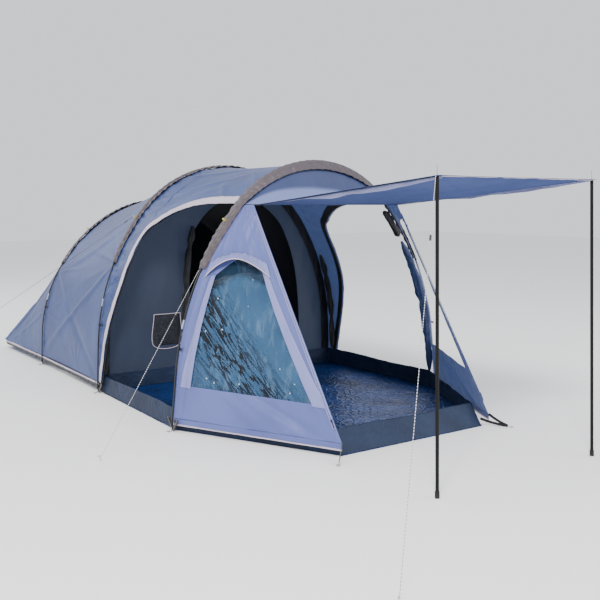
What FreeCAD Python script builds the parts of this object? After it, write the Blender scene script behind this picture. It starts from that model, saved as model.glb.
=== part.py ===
import FreeCAD, Part
import Sketcher
import math
import os

from FreeCAD import Placement, Rotation, Vector

# A four-berth tunnel tent on three fibreglass arches.
# The origin is on the ground under the middle of the tent: X across, +Y to the rear, Z up.
# Every size is in millimetres.

DRIVING = (
    ("FrontPlane", -1060.3, "y of the front arch"),
    ("FrontBayDepth", 1412.0, "front arch to middle arch"),
    ("RearBayDepth", 1469.0, "middle arch to rear arch"),
    ("TailLength", 1239.0, "rear arch to rear edge of the fly"),
    ("TailHalfWidth", 1215.0, "half of the fly's rear edge"),
    ("FrontHalfWidth", 1235.0, "front arch, pole centre at the ground"),
    ("FrontHeight", 1880.0, "front arch, pole centre at the crown"),
    ("FrontLeg", 404.0, "straight length at the foot"),
    ("FrontLean", 4.9, "inward lean of the leg, degrees"),
    ("FrontShoulder", 44.5, "slope where shoulder meets crown, degrees"),
    ("MiddleHalfWidth", 1215.0, "middle arch, pole centre at the ground"),
    ("MiddleHeight", 1893.0, "middle arch, pole centre at the crown"),
    ("MiddleLeg", 400.0, "straight length at the foot"),
    ("MiddleLean", 1.0, "inward lean of the leg, degrees"),
    ("MiddleShoulder", 37.0, "slope where shoulder meets crown, degrees"),
    ("RearHalfWidth", 1207.0, "rear arch, pole centre at the ground"),
    ("RearHeight", 1588.0, "rear arch, pole centre at the crown"),
    ("RearLeg", 277.0, "straight length at the foot"),
    ("RearLean", 0.5, "inward lean of the leg, degrees"),
    ("RearShoulder", 62.0, "slope where shoulder meets crown, degrees"),
    ("RodRadius", 5.5, "fibreglass rod"),
    ("RodCount", 7.0, "rod sections in one arch"),
    ("FerruleLength", 62.0, "steel ferrule"),
    ("FerruleWall", 1.0, "steel ferrule"),
    ("FitGap", 0.2, "running clearance round rods, pins and spikes"),
    ("SleeveWidth", 76.0, "sewn pole sleeve, across the arch"),
    ("SleeveWall", 1.5, "cloth over the pole's channel"),
    ("FrontSleeveEnd", 1100.0, "height where the sleeve stops"),
    ("MiddleSleeveEnd", 1070.0, "height where the sleeve stops"),
    ("RearSleeveEnd", 985.0, "height where the sleeve stops"),
    ("FrontTab", 1430.0, "height of the guy tabs"),
    ("MiddleTab", 1435.0, "height of the guy tabs"),
    ("RearTab", 1295.0, "height of the guy tabs"),
    ("ClipHeight", 560.0, "pole clip above the ground"),
    ("FlyGap", 10.0, "pole centre to the fly's outer face"),
    ("Cloth", 2.0, "thickness that stands for a cloth panel"),
    ("HemHeight", 90.0, "lower edge of the fly"),
    ("SkirtDrop", 42.0, "hem tape and the black skirt under it"),
    ("SeamGap", 2.5, "between panels that are sewn together"),
    ("BindingGap", 3.0, "under the door bindings"),
    ("PinRadius", 2.8, "steel foot pin"),
    ("PinLength", 56.0, "steel foot pin"),
    ("RingHole", 9.0, "radius of the hole in a peg ring"),
    ("RingRim", 4.5, "width of a peg ring's rim"),
    ("RingThickness", 3.0, "peg ring"),
    ("SideDoorTop", 1560.0, "height of the side doors"),
    ("BindingWidth", 52.0, "door binding"),
    ("SillReach", 1145.0, "front arch to the door sill"),
    ("SillHalfWidth", 645.0, "half of the front door at the sill"),
    ("BrowReach", 155.0, "front arch to the canopy's hinge line"),
    ("HingeHeight", 1550.0, "canopy's hinge line"),
    ("HingeHalfWidth", 670.0, "half of the front door at the hinge line"),
    ("CanopyLength", 1832.0, "hinge line to the eyelets"),
    ("CanopyRise", 4.9, "slope of the open canopy, degrees"),
    ("CanopyMargin", 22.0, "cloth past the eyelets"),
    ("EyeletHalfWidth", 655.0, "eyelets off the centre line"),
    ("EyeletRadius", 13.0, "eyelet ring"),
    ("PoleRadius", 10.0, "canopy pole"),
    ("PoleWall", 1.2, "canopy pole"),
    ("LowerTube", 860.0, "length of the lower tube of a canopy pole"),
    ("SpikeRadius", 3.0, "spike on the canopy pole"),
    ("SpikeLength", 62.0, "spike above the canopy pole"),
    ("TubWall", 150.0, "upturned edge of the groundsheet"),
    ("InnerGap", 75.0, "pole centre to the inner tent"),
    ("InnerTail", 769.0, "rear arch to the inner tent's rear edge"),
    ("CordRadius", 1.5, "guy line"),
    ("SliderHeight", 5.0, "zip slider, off the cloth"),
)

LOWER = 4.0  # the lowest cloth edge stands this far above the ground
STEPS = 16  # facets round half a turn of cloth
SIDES = (-1, 1)

document = FreeCAD.newDocument("TunnelTent")
table = document.addObject("Spreadsheet::Sheet", "Dimensions")
size = {}
for line, (alias, value, meaning) in enumerate(DRIVING, 1):
    table.set(f"A{line}", meaning)
    table.set(f"B{line}", str(value))
    table.setAlias(f"B{line}", alias)
    size[alias] = value
document.recompute()
for alias in size:
    size[alias] = float(getattr(table, alias))

front_y = size["FrontPlane"]
middle_y = front_y + size["FrontBayDepth"]
rear_y = middle_y + size["RearBayDepth"]
tail_y = rear_y + size["TailLength"]
sill_y = front_y - size["SillReach"]
hinge_y = front_y - size["BrowReach"]
rise = math.radians(size["CanopyRise"])
eyelet_y = hinge_y - size["CanopyLength"] * math.cos(rise)
eyelet_z = size["HingeHeight"] + size["CanopyLength"] * math.sin(rise)

nodes = []


# ---------------------------------------------------------------- arch curves


class Arch:
    """One arch's pole centre line: a straight leg, a shoulder arc and half of the crown arc,
    tangent to each other, and the same mirrored. A run is a length from the left foot."""

    def __init__(self, name, plane):
        self.plane = plane
        self.lean = math.radians(size[name + "Lean"])
        self.shoulder = math.radians(size[name + "Shoulder"])
        self.foot = size[name + "HalfWidth"]
        self.leg = size[name + "Leg"]
        self.sleeve_end = size[name + "SleeveEnd"]
        self.tab = size[name + "Tab"]
        across = self.foot - self.leg * math.sin(self.lean)
        up = size[name + "Height"] - self.leg * math.cos(self.lean)
        a = math.cos(self.lean) - math.cos(self.shoulder)
        b = math.cos(self.shoulder)
        c = math.sin(self.shoulder) - math.sin(self.lean)
        d = 1.0 - math.sin(self.shoulder)
        self.shoulder_radius = (across * d - up * b) / (a * d - b * c)
        self.crown_radius = (a * up - c * across) / (a * d - b * c)
        self.shoulder_run = self.shoulder_radius * (self.shoulder - self.lean)
        self.crown_run = self.crown_radius * (math.pi / 2 - self.shoulder)
        self.half = self.leg + self.shoulder_run + self.crown_run

    def right_half(self, run):
        """x, z and slope at a run from the right foot, up to the crown."""
        along = min(run, self.leg)
        x = self.foot - along * math.sin(self.lean)
        z = along * math.cos(self.lean)
        turn = self.lean
        if run > self.leg:
            end = self.lean + min(run - self.leg, self.shoulder_run) / self.shoulder_radius
            x -= self.shoulder_radius * (math.cos(turn) - math.cos(end))
            z += self.shoulder_radius * (math.sin(end) - math.sin(turn))
            turn = end
        if run > self.leg + self.shoulder_run:
            end = turn + (run - self.leg - self.shoulder_run) / self.crown_radius
            x -= self.crown_radius * (math.cos(turn) - math.cos(end))
            z += self.crown_radius * (math.sin(end) - math.sin(turn))
            turn = end
        return x, z, turn

    def frame(self, run):
        """The point at a run, the outward normal and the forward tangent."""
        side = -1 if run <= self.half else 1
        x, z, turn = self.right_half(run if side < 0 else 2 * self.half - run)
        outward = Vector(side * math.cos(turn), 0, math.sin(turn))
        tangent = Vector(math.sin(turn), 0, -side * math.cos(turn))
        return Vector(side * x, self.plane, z), outward, tangent

    def point(self, run, offset=0.0, shift=0.0):
        place, outward, _ = self.frame(run)
        return place + outward * offset + Vector(0, shift, 0)

    def run_at(self, height, offset=0.0):
        """The run on the left half where the offset curve is at a height."""
        low, high = 0.0, self.half
        for _ in range(50):
            middle = (low + high) / 2
            if self.point(middle, offset).z < height:
                low = middle
            else:
                high = middle
        return (low + high) / 2

    def half_width_at(self, height, offset=0.0):
        return -self.point(self.run_at(height, offset), offset).x

    def wire(self, start, stop, offset=0.0, shift=0.0):
        """Lines and arcs along the offset curve."""
        breaks = (self.leg, self.leg + self.shoulder_run)
        breaks += tuple(2 * self.half - run for run in reversed(breaks))
        runs = [start] + [run for run in breaks if start < run < stop] + [stop]
        edges = []
        for first, last in zip(runs[:-1], runs[1:]):
            begin = self.point(first, offset, shift)
            end = self.point(last, offset, shift)
            straight = last <= breaks[0] or first >= breaks[3]
            if straight:
                edges.append(Part.LineSegment(begin, end).toShape())
            else:
                middle = self.point((first + last) / 2, offset, shift)
                edges.append(Part.Arc(begin, middle, end).toShape())
        return Part.Wire(edges)

    def pipe(self, start, stop, radius, offset=0.0, shift=0.0, bore=0.0):
        """A round rod or tube along the offset curve."""
        path = self.wire(start, stop, offset, shift)
        _, _, tangent = self.frame(start)
        place = self.point(start, offset, shift)
        section = Part.Face(Part.Wire(Part.Circle(place, tangent, radius).toShape()))
        if bore:
            inside = Part.Face(Part.Wire(Part.Circle(place, tangent, bore).toShape()))
            section = section.cut(inside).Faces[0]
        return path.makePipe(section)

    def curve(self, start, stop, steps, offset=0.0, shift=0.0):
        """Evenly spaced points along the offset curve."""
        runs = [start + (stop - start) * step / steps for step in range(steps + 1)]
        return [self.point(run, offset, shift) for run in runs]


front = Arch("Front", front_y)
middle = Arch("Middle", middle_y)
rear = Arch("Rear", rear_y)
ARCHES = (("rear", rear), ("middle", middle), ("front", front))


# ---------------------------------------------------------------- cloth panels


def face_of(corners):
    """One flat face, or two triangles where four corners aren't flat."""
    kept = []
    for corner in corners:
        if not kept or (corner - kept[-1]).Length > 1e-4:
            kept.append(corner)
    if (kept[0] - kept[-1]).Length < 1e-4:
        kept.pop()
    if len(kept) < 3:
        return []
    if len(kept) == 4:
        normal = (kept[1] - kept[0]).cross(kept[3] - kept[0])
        if normal.Length < 1e-9 or abs((kept[2] - kept[0]).dot(normal / normal.Length)) > 1e-5:
            return face_of(kept[:3]) + face_of([kept[0], kept[2], kept[3]])
    return [Part.Face(Part.makePolygon(kept + [kept[0]]))]


def cloth(grid, thickness=None, flip=False):
    """A closed thin solid under a grid of points. The cloth's other face lies on the side that
    the cross product of columns and rows points away from, or towards if flipped."""
    thickness = size["Cloth"] if thickness is None else thickness
    rows, columns = len(grid), len(grid[0])
    back = []
    for i in range(rows):
        line = []
        for j in range(columns):
            along = grid[i][min(j + 1, columns - 1)] - grid[i][max(j - 1, 0)]
            across = grid[min(i + 1, rows - 1)][j] - grid[max(i - 1, 0)][j]
            normal = along.cross(across)
            normal.normalize()
            line.append(grid[i][j] - normal * (-thickness if flip else thickness))
        back.append(line)
    faces = []
    for i in range(rows - 1):
        for j in range(columns - 1):
            for layer in (grid, back):
                faces += face_of([layer[i][j], layer[i][j + 1], layer[i + 1][j + 1], layer[i + 1][j]])
    rim = [(0, j) for j in range(columns)]
    rim += [(i, columns - 1) for i in range(1, rows)]
    rim += [(rows - 1, j) for j in range(columns - 2, -1, -1)]
    rim += [(i, 0) for i in range(rows - 2, 0, -1)]
    for (i, j), (k, n) in zip(rim, rim[1:] + rim[:1]):
        faces += face_of([grid[i][j], grid[k][n], back[k][n], back[i][j]])
    solid = Part.Solid(Part.makeShell(faces))
    if solid.Volume < 0:
        solid.reverse()
    return solid


def plate(corners, direction):
    """A flat polygon with a thickness."""
    return Part.Face(Part.makePolygon(corners + [corners[0]])).extrude(direction)


def keep_shape(label, shape):
    """A sub-part whose shape comes from Part's own functions."""
    item = document.addObject("Part::Feature", label)
    item.Shape = shape
    item.Placement = Placement()
    item.Label = label
    nodes.append(item)
    return item


def keep(item, label):
    item.Label = label
    nodes.append(item)
    return item


# ---------------------------------------------------------------- bound primitives


def primitive(kind, name, bindings, placement=None):
    item = document.addObject(kind, name)
    for field, expression in bindings.items():
        item.setExpression(field, expression)
    if placement:
        item.Placement = placement
    return item


def standing(place, direction=Vector(0, 0, 1)):
    """A placement whose local Z points along a direction."""
    return Placement(place, Rotation(Vector(0, 0, 1), direction))


def axes_frame(place, along, outward):
    """A placement with local X along one direction and local Z as near another as can be."""
    along = along.normalize()
    side = outward.cross(along).normalize()
    up = along.cross(side)
    matrix = FreeCAD.Matrix(
        along.x, side.x, up.x, place.x, along.y, side.y, up.y, place.y, along.z, side.z, up.z, place.z
    )
    return Placement(matrix)


def cut(name, base, tool):
    item = document.addObject("Part::Cut", name)
    item.Base = base
    item.Tool = tool
    return item


def fuse(name, base, tool):
    item = document.addObject("Part::Fuse", name)
    item.Base = base
    item.Tool = tool
    return item


def group(label, items):
    item = document.addObject("Part::Compound", label)
    item.Links = items
    return keep(item, label)


def feet():
    """Each arch and side with the run at its foot."""
    for name, arch in ARCHES:
        for side in SIDES:
            yield name, arch, side


def run_of(arch, side, height, offset=0.0):
    run = arch.run_at(height, offset)
    return run if side < 0 else 2 * arch.half - run


# ---------------------------------------------------------------- arch poles


def rod_runs(arch):
    """Where the rods of an arch start and stop."""
    start = arch.run_at(LOWER + size["PinLength"] / 2)
    span = (2 * arch.half - 2 * start) / size["RodCount"]
    return [start + span * step for step in range(int(size["RodCount"]) + 1)]


def build_arch_poles():
    """Rods in each arch, with a bore for the foot pin in the two end rods."""
    pin_bore = size["PinRadius"] + size["FitGap"]
    bore_depth = size["PinLength"] / 2 + 4
    for name, arch in ARCHES:
        runs = rod_runs(arch)
        rods = [arch.pipe(a, b, size["RodRadius"]) for a, b in zip(runs[:-1], runs[1:])]
        for index, run in ((0, runs[0]), (-1, runs[-1])):
            place, _, tangent = arch.frame(run)
            inward = tangent if index == 0 else -tangent
            tool = Part.makeCylinder(pin_bore, bore_depth + 1, place - inward, inward)
            rods[index] = rods[index].cut(tool)
        keep_shape(f"{name}_arch_pole", Part.makeCompound(rods))


def build_ferrules():
    """A steel sleeve over each joint between two rods."""
    inside = size["RodRadius"] + size["FitGap"]
    reach = size["FerruleLength"] / 2
    tubes = []
    for _, arch in ARCHES:
        for run in rod_runs(arch)[1:-1]:
            tubes.append(arch.pipe(run - reach, run + reach, inside + size["FerruleWall"], bore=inside))
    keep_shape("pole_ferrules", Part.makeCompound(tubes))


def channel_radius():
    return size["RodRadius"] + 2 * size["FitGap"] + size["FerruleWall"] + 0.5


def build_sleeves():
    """A cloth band over each arch with a channel for the pole. A wing rises where the fly beside
    it does: ahead of the rear arch and behind the front one."""
    low = -size["FlyGap"] + 0.5
    top = channel_radius() + size["SleeveWall"]
    wide = size["SleeveWidth"] / 2
    wings = {"rear": (0.42, 0.0), "middle": (0.0, 0.0), "front": (0.0, 0.15)}
    for name, arch in ARCHES:
        ahead, behind = wings[name]
        outline = (
            (low, -3),
            (low, 3),
            (low + behind * 11, 14),
            (low + behind * (wide - 3), wide),
            (low + behind * (wide - 3) + 2, wide),
            (top, 15),
            (top, -15),
            (low + ahead * (wide - 3) + 2, -wide),
            (low + ahead * (wide - 3), -wide),
            (low + ahead * 11, -14),
        )
        start = arch.run_at(arch.sleeve_end)
        stop = 2 * arch.half - start
        place, outward, tangent = arch.frame(start)
        corners = [place + outward * n + Vector(0, b, 0) for n, b in outline]
        section = Part.Face(Part.makePolygon(corners + [corners[0]]))
        hole = Part.Face(Part.Wire(Part.Circle(place, tangent, channel_radius()).toShape()))
        section = section.cut(hole).Faces[0]
        keep_shape(f"{name}_sleeve", arch.wire(start, stop).makePipe(section))


def build_foot_pins():
    pins = []
    for name, arch, side in feet():
        run = rod_runs(arch)[0 if side < 0 else -1]
        place, _, tangent = arch.frame(run)
        upward = tangent if side < 0 else -tangent
        placement = standing(place - upward * (size["PinLength"] / 2), upward)
        sizes = {"Radius": "Dimensions.PinRadius", "Height": "Dimensions.PinLength"}
        pins.append(primitive("Part::Cylinder", f"Pin{name}{side + 1}", sizes, placement))
    group("foot_pins", pins)


def ring_centre(arch, side):
    outside = arch.foot + size["PinRadius"] + size["RingHole"] + size["RingRim"] + 3
    return Vector(side * outside, arch.plane, LOWER - 1)


def corner_ring_centre(side):
    """The ring at a front corner lies outside the strap that goes round it."""
    return Vector(side * (size["SillHalfWidth"] + 112), sill_y - 108, LOWER - 1)


def build_peg_rings():
    """A flat steel ring outside each foot and front corner, where a peg goes through."""
    places = [ring_centre(arch, side) for _, arch, side in feet()]
    places += [corner_ring_centre(side) for side in SIDES]
    rings = []
    for number, place in enumerate(places):
        rim = {"Radius": "Dimensions.RingHole + Dimensions.RingRim", "Height": "Dimensions.RingThickness"}
        hole = {"Radius": "Dimensions.RingHole", "Height": "Dimensions.RingThickness"}
        outer = primitive("Part::Cylinder", f"Rim{number}", rim, Placement(place, Rotation()))
        inner = primitive("Part::Cylinder", f"RingHole{number}", hole, Placement(place, Rotation()))
        rings.append(cut(f"Ring{number}", outer, inner))
    group("peg_rings", rings)


def build_foot_webbing():
    """A triangle of webbing from the hem down to each foot pin."""
    straps = []
    half = 78.0
    for name, arch, side in feet():
        x = side * (arch.foot - size["FlyGap"] - size["Cloth"] - 4)
        corners = [
            Vector(x, arch.plane - half, size["HemHeight"] - 3),
            Vector(x, arch.plane + half, size["HemHeight"] - 3),
            Vector(x, arch.plane + 9, LOWER),
            Vector(x, arch.plane - 9, LOWER),
        ]
        straps.append(plate(corners, Vector(side * 2.0, 0, 0)))
    keep_shape("foot_webbing", Part.makeCompound(straps))


def build_pole_clips():
    """A hook round the pole on a webbing tongue that is sewn to the fly."""
    clips = []
    for name, arch, side in feet():
        run = run_of(arch, side, size["ClipHeight"])
        place, outward, tangent = arch.frame(run)
        upward = tangent if side < 0 else -tangent
        bore = {"Radius": "Dimensions.RodRadius + Dimensions.FitGap", "Height": "16 mm"}
        rim = {"Radius": "Dimensions.RodRadius + 2.7", "Height": "16 mm"}
        placement = standing(place - upward * 8, upward)
        outer = primitive("Part::Cylinder", f"ClipRim{name}{side + 1}", rim, placement)
        inner = primitive("Part::Cylinder", f"ClipBore{name}{side + 1}", bore, placement)
        tongue = primitive("Part::Box", f"ClipTongue{name}{side + 1}", {"Height": "2 mm"})
        tongue.Length = 46
        tongue.Width = 14
        corner = place - outward * (size["RodRadius"] + 2.7) - upward * 7
        tongue.Placement = axes_frame(corner, Vector(0, -1, 0), outward)
        if (tongue.Placement.Rotation.multVec(Vector(0, 1, 0))).dot(upward) < 0:
            tongue.Placement = axes_frame(corner + upward * 14, Vector(0, -1, 0), outward)
        whole = fuse(f"ClipWhole{name}{side + 1}", outer, tongue)
        clips.append(cut(f"Clip{name}{side + 1}", whole, inner))
    group("pole_clips", clips)


def build_sleeve_hooks():
    """A black cuff on the pole just below each end of a sleeve."""
    cuffs = []
    for name, arch, side in feet():
        run = arch.run_at(arch.sleeve_end) - 19
        run = run if side < 0 else 2 * arch.half - run
        place, _, tangent = arch.frame(run)
        upward = tangent if side < 0 else -tangent
        placement = standing(place, upward)
        rim = {"Radius": "Dimensions.RodRadius + 4", "Height": "18 mm"}
        bore = {"Radius": "Dimensions.RodRadius + Dimensions.FitGap", "Height": "18 mm"}
        outer = primitive("Part::Cylinder", f"CuffRim{name}{side + 1}", rim, placement)
        inner = primitive("Part::Cylinder", f"CuffBore{name}{side + 1}", bore, placement)
        cuffs.append(cut(f"Cuff{name}{side + 1}", outer, inner))
    group("sleeve_hooks", cuffs)


TAB_REACH = 26.0
TAB_THICKNESS = 3.0


def tab_frame(arch, side):
    run = run_of(arch, side, arch.tab)
    place, outward, tangent = arch.frame(run)
    root = place + outward * (channel_radius() + size["SleeveWall"])
    return root, outward, tangent


def build_guy_tabs():
    """A folded webbing tab on each sleeve for a guy line."""
    tabs = []
    for name, arch, side in feet():
        root, outward, tangent = tab_frame(arch, side)
        tab = primitive("Part::Box", f"Tab{name}{side + 1}", {"Width": "18 mm"})
        tab.Length = TAB_REACH
        tab.Height = TAB_THICKNESS
        placement = axes_frame(root, outward, tangent)
        offset = placement.Rotation.multVec(Vector(0, -9, -TAB_THICKNESS / 2))
        tab.Placement = Placement(root + offset, placement.Rotation)
        tabs.append(tab)
    group("guy_tabs", tabs)


# ---------------------------------------------------------------- fly


def skin(y, height, side, offset):
    """A point on the front bay's cloth, between the front and middle arches."""
    share = (y - front_y) / (middle_y - front_y)
    near = front.half_width_at(height, offset)
    far = middle.half_width_at(height, offset)
    return Vector(side * (near + (far - near) * share), y, height)


def rear_rim():
    """Points of the rear arch and the ground points that the rear panel runs down to."""
    offset = -size["FlyGap"]
    start = rear.run_at(size["HemHeight"], offset)
    top = rear.curve(start, 2 * rear.half - start, STEPS, offset, size["SeamGap"])
    ground = []
    corner = size["TailHalfWidth"]
    ridge = STEPS // 4
    for index in range(STEPS + 1):
        if index < ridge:
            share = index / ridge
            ground.append(Vector(-corner, tail_y - 240 * (1 - share), size["HemHeight"]))
        elif index > STEPS - ridge:
            share = (STEPS - index) / ridge
            ground.append(Vector(corner, tail_y - 240 * (1 - share), size["HemHeight"]))
        else:
            share = (index - ridge) / (STEPS - 2 * ridge)
            ground.append(Vector(-corner + 2 * corner * share, tail_y, size["HemHeight"]))
    return top, ground


def build_rear_wall():
    top, ground = rear_rim()
    keep_shape("fly_rear_wall", cloth([top, ground]))


def bay_strip(arch_a, arch_b, start, stop, steps):
    """Cloth between two arches, from one share of the half arch to another."""
    offset = -size["FlyGap"]
    rows = []
    for arch, shift in ((arch_a, size["SeamGap"]), (arch_b, -size["SeamGap"])):
        foot = arch.run_at(size["HemHeight"], offset)
        span = 2 * (arch.half - foot)
        rows.append(arch.curve(foot + span * start, foot + span * stop, steps, offset, shift))
    return rows


SEAM = 0.24  # share of the arch where a wall panel meets the roof panel


def build_rear_bay():
    lap = 0.0006
    walls = (
        ("rear_bay_left_wall", 0, SEAM - lap),
        ("rear_bay_roof", SEAM + lap, 1 - SEAM - lap),
        ("rear_bay_right_wall", 1 - SEAM + lap, 1),
    )
    for label, start, stop in walls:
        steps = max(4, round(STEPS * (stop - start)))
        keep_shape(label, cloth(bay_strip(middle, rear, start, stop, steps)))


def door_edge():
    """The side door's rear edge, as height and distance behind the front arch."""
    depth = size["FrontBayDepth"]
    top = size["SideDoorTop"]
    corners = (
        (size["HemHeight"], depth - 62),
        (top * 0.28, depth - 150),
        (top * 0.55, depth - 262),
        (top * 0.83, depth - 282),
        (top * 0.90, depth - 390),
        (top * 0.95, depth - 542),
        (top * 0.98, depth - 680),
        (top, depth - 782),
    )
    edge = []
    for low, high in zip(corners[:-1], corners[1:]):
        edge += [tuple(a + (b - a) * step / 4 for a, b in zip(low, high)) for step in range(4)]
    return edge + [corners[-1]]


def build_front_bay():
    """The roof between the front and middle arches, and the strip beside each side door."""
    offset = -size["FlyGap"]
    rows = []
    for arch, shift in ((front, size["SeamGap"]), (middle, -size["SeamGap"])):
        start = arch.run_at(size["SideDoorTop"] + size["SeamGap"], offset)
        rows.append(arch.curve(start, 2 * arch.half - start, 10, offset, shift))
    keep_shape("front_bay_roof", cloth(rows))
    for label, side in (("left_door_strip", -1), ("right_door_strip", 1)):
        edge = [skin(front_y + y, z, side, offset) for z, y in door_edge()]
        back = [skin(middle_y - size["SeamGap"], z, side, offset) for z, _ in door_edge()]
        keep_shape(label, cloth([edge, back], flip=side > 0))


def build_door_bindings():
    """A pale band along the edge of each side door, outside the fly."""
    offset = size["BindingGap"] - size["FlyGap"] + size["Cloth"]
    wide = size["BindingWidth"]
    path = [(y, z) for z, y in door_edge()] + [(420.0, size["SideDoorTop"]), (60.0, size["SideDoorTop"])]
    inner = []
    for index, (y, z) in enumerate(path):
        before = path[max(index - 1, 0)]
        after = path[min(index + 1, len(path) - 1)]
        dy, dz = after[0] - before[0], after[1] - before[1]
        length = math.hypot(dy, dz)
        inner.append((y + wide * dz / length, z - wide * dy / length))
    bands = []
    for side in SIDES:
        edge = [skin(front_y + y, z, side, offset) for y, z in path]
        back = [skin(front_y + y, max(z, size["HemHeight"]), side, offset) for y, z in inner]
        bands.append(cloth([edge, back], flip=side > 0))
    keep_shape("side_door_bindings", Part.makeCompound(bands))


def build_hem():
    """A pale hem with the black skirt below it, round the sides and rear of the fly."""
    offset = -size["FlyGap"]
    corner = size["TailHalfWidth"]
    line = [
        Vector(-middle.half_width_at(size["HemHeight"], offset), middle_y, 0),
        Vector(-rear.half_width_at(size["HemHeight"], offset), rear_y, 0),
        Vector(-corner, tail_y - 20, 0),
        Vector(-corner + 20, tail_y, 0),
    ]
    line += [Vector(-point.x, point.y, 0) for point in reversed(line)]
    lower = [point + Vector(0, 0, size["HemHeight"] - size["SkirtDrop"]) for point in line]
    upper = [point + Vector(0, 0, size["HemHeight"] - size["SeamGap"]) for point in line]
    keep_shape("fly_hem", cloth([lower, upper], 3.0))


# ---------------------------------------------------------------- porch


def porch(side, across, up, offset=0.0):
    """A point on a front side panel. across runs from the arch to the sloping door edge, up from
    the ground to the hinge line."""
    bottom = size["HemHeight"]
    height = bottom + (size["HingeHeight"] - bottom) * up
    leg = Vector(side * front.half_width_at(height, -size["FlyGap"]), front_y, height)
    foot = Vector(side * size["SillHalfWidth"], sill_y, bottom)
    top = Vector(side * size["HingeHalfWidth"], hinge_y, size["HingeHeight"])
    edge = foot + (top - foot) * up
    place = leg * (1 - across) + edge * across
    if offset:
        level = (edge - leg).normalize()
        raked = (porch(side, across, min(up + 0.05, 1)) - porch(side, across, max(up - 0.05, 0))).normalize()
        outward = level.cross(raked) * (-side)
        if outward.x * side < 0:
            outward = -outward
        place = place + outward.normalize() * offset
    return place


PANEL_ROWS = 16


def porch_panel(side, columns=4):
    rows = []
    for row in range(PANEL_ROWS + 1):
        rows.append([porch(side, column / columns, row / PANEL_ROWS) for column in range(columns + 1)])
    return cloth(rows, flip=side > 0)


def porch_opening(side, corners):
    """A cutter through a side panel, from its corners as (across, up)."""
    inside = [porch(side, across, up, -90) for across, up in corners]
    outside = [porch(side, across, up, 90) for across, up in corners]
    faces = []
    count = len(corners)
    centre_in = sum(inside, Vector()) / count
    centre_out = sum(outside, Vector()) / count
    for index in range(count):
        after = (index + 1) % count
        faces += face_of([inside[index], inside[after], centre_in])
        faces += face_of([outside[index], outside[after], centre_out])
        faces += face_of([inside[index], inside[after], outside[after]])
        faces += face_of([inside[index], outside[after], outside[index]])
    solid = Part.Solid(Part.makeShell(faces))
    if solid.Volume < 0:
        solid.reverse()
    return solid


WINDOW = ((0.10, 0.155), (0.905, 0.14), (0.79, 0.70), (0.50, 0.735), (0.20, 0.665))
PORCH_DOOR = ((0.07, 0.20), (0.90, 0.185), (0.84, 0.92), (0.10, 0.86))


def build_porch():
    keep_shape("left_front_panel", porch_panel(-1).cut(porch_opening(-1, WINDOW)))
    keep_shape("right_front_panel", porch_panel(1).cut(porch_opening(1, PORCH_DOOR)))
    lap = 0.025
    pane = []
    for row in range(9):
        up = row / 8
        low = WINDOW[0][0] * (1 - up) + WINDOW[4][0] * up - lap
        high = WINDOW[1][0] * (1 - up) + WINDOW[2][0] * up + lap
        start = 0.135
        stop = 0.745
        heights = start + (stop - start) * up
        pane.append([porch(-1, low + (high - low) * step / 3, heights, -9) for step in range(4)])
    keep_shape("window_pane", cloth(pane, 1.0))


def arc_pipe(points, radius):
    """A round bar along the arc through three points."""
    path = Part.Wire(Part.Arc(*points).toShape())
    edge = path.Edges[0]
    start = edge.valueAt(edge.FirstParameter)
    tangent = edge.tangentAt(edge.FirstParameter)
    section = Part.Face(Part.Wire(Part.Circle(start, tangent, radius).toShape()))
    return path.makePipe(section)


def build_window_trim():
    """The arched hood over the window, and the curtain rolled up behind the pane's top edge."""
    lower = [porch(-1, across, up, 2.5) for across, up in HOOD]
    upper = [porch(-1, across, up + 0.06, 1.0) for across, up in HOOD]
    keep_shape("window_hood", cloth([lower, upper], 1.4, flip=True))
    roll = [porch(-1, across, up, -38) for across, up in ((0.14, 0.63), (0.5, 0.70), (0.84, 0.66))]
    keep_shape("window_curtain", arc_pipe(roll, 24))


HOOD = ((0.03, 0.665), (0.2, 0.715), (0.4, 0.75), (0.55, 0.76), (0.75, 0.735), (0.95, 0.68))


def build_brow():
    """Cloth from the front arch's crown forward to the canopy's hinge line."""
    offset = -size["FlyGap"]
    steps = 8
    height = size["HingeHeight"] + 2 * size["SeamGap"]
    start = front.run_at(height, offset)
    crown = front.curve(start, 2 * front.half - start, steps, offset, -size["SeamGap"])
    half = size["HingeHalfWidth"]
    line = [Vector(half * (2 * step / steps - 1), hinge_y + 4, height) for step in range(steps + 1)]
    keep_shape("brow_panel", cloth([line, crown]))


def build_rolls():
    """Doors rolled up and tied beside their openings, inside the fly."""
    rolls = []
    for side in SIDES:
        start, stop = middle.run_at(168), middle.run_at(1080)
        if side > 0:
            start, stop = 2 * middle.half - stop, 2 * middle.half - start
        rolls.append(middle.pipe(start, stop, 28, -52, -48))
    keep_shape("side_door_rolls", Part.makeCompound(rolls))
    porch_rolls = []
    for high, low, radius in ((1300, 170, 34), (1560, 1345, 26)):
        start, stop = 2 * front.half - front.run_at(high), 2 * front.half - front.run_at(low)
        porch_rolls.append(front.pipe(start, stop, radius, -96, -46))
    keep_shape("porch_rolls", Part.makeCompound(porch_rolls))


# ---------------------------------------------------------------- floors and inner tent


def tub(bottom, top, height, wall):
    """A shallow tray between two outlines that match corner by corner."""

    def loft(lower, upper, low, high):
        first = Part.makePolygon([Vector(x, y, low) for x, y in lower + lower[:1]])
        last = Part.makePolygon([Vector(x, y, high) for x, y in upper + upper[:1]])
        return Part.makeLoft([first, last], True, True)

    def shrink(outline):
        middle_of = sum(y for _, y in outline) / len(outline)
        return [(x - math.copysign(wall, x), y - math.copysign(wall, y - middle_of)) for x, y in outline]

    outer = loft(bottom, top, 0, height)
    return outer.cut(loft(shrink(bottom), shrink(top), wall, height + wall))


def mirrored(right):
    """A closed outline from its right half, front to rear."""
    return [(-x, y) for x, y in right] + [(x, y) for x, y in reversed(right)]


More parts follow.
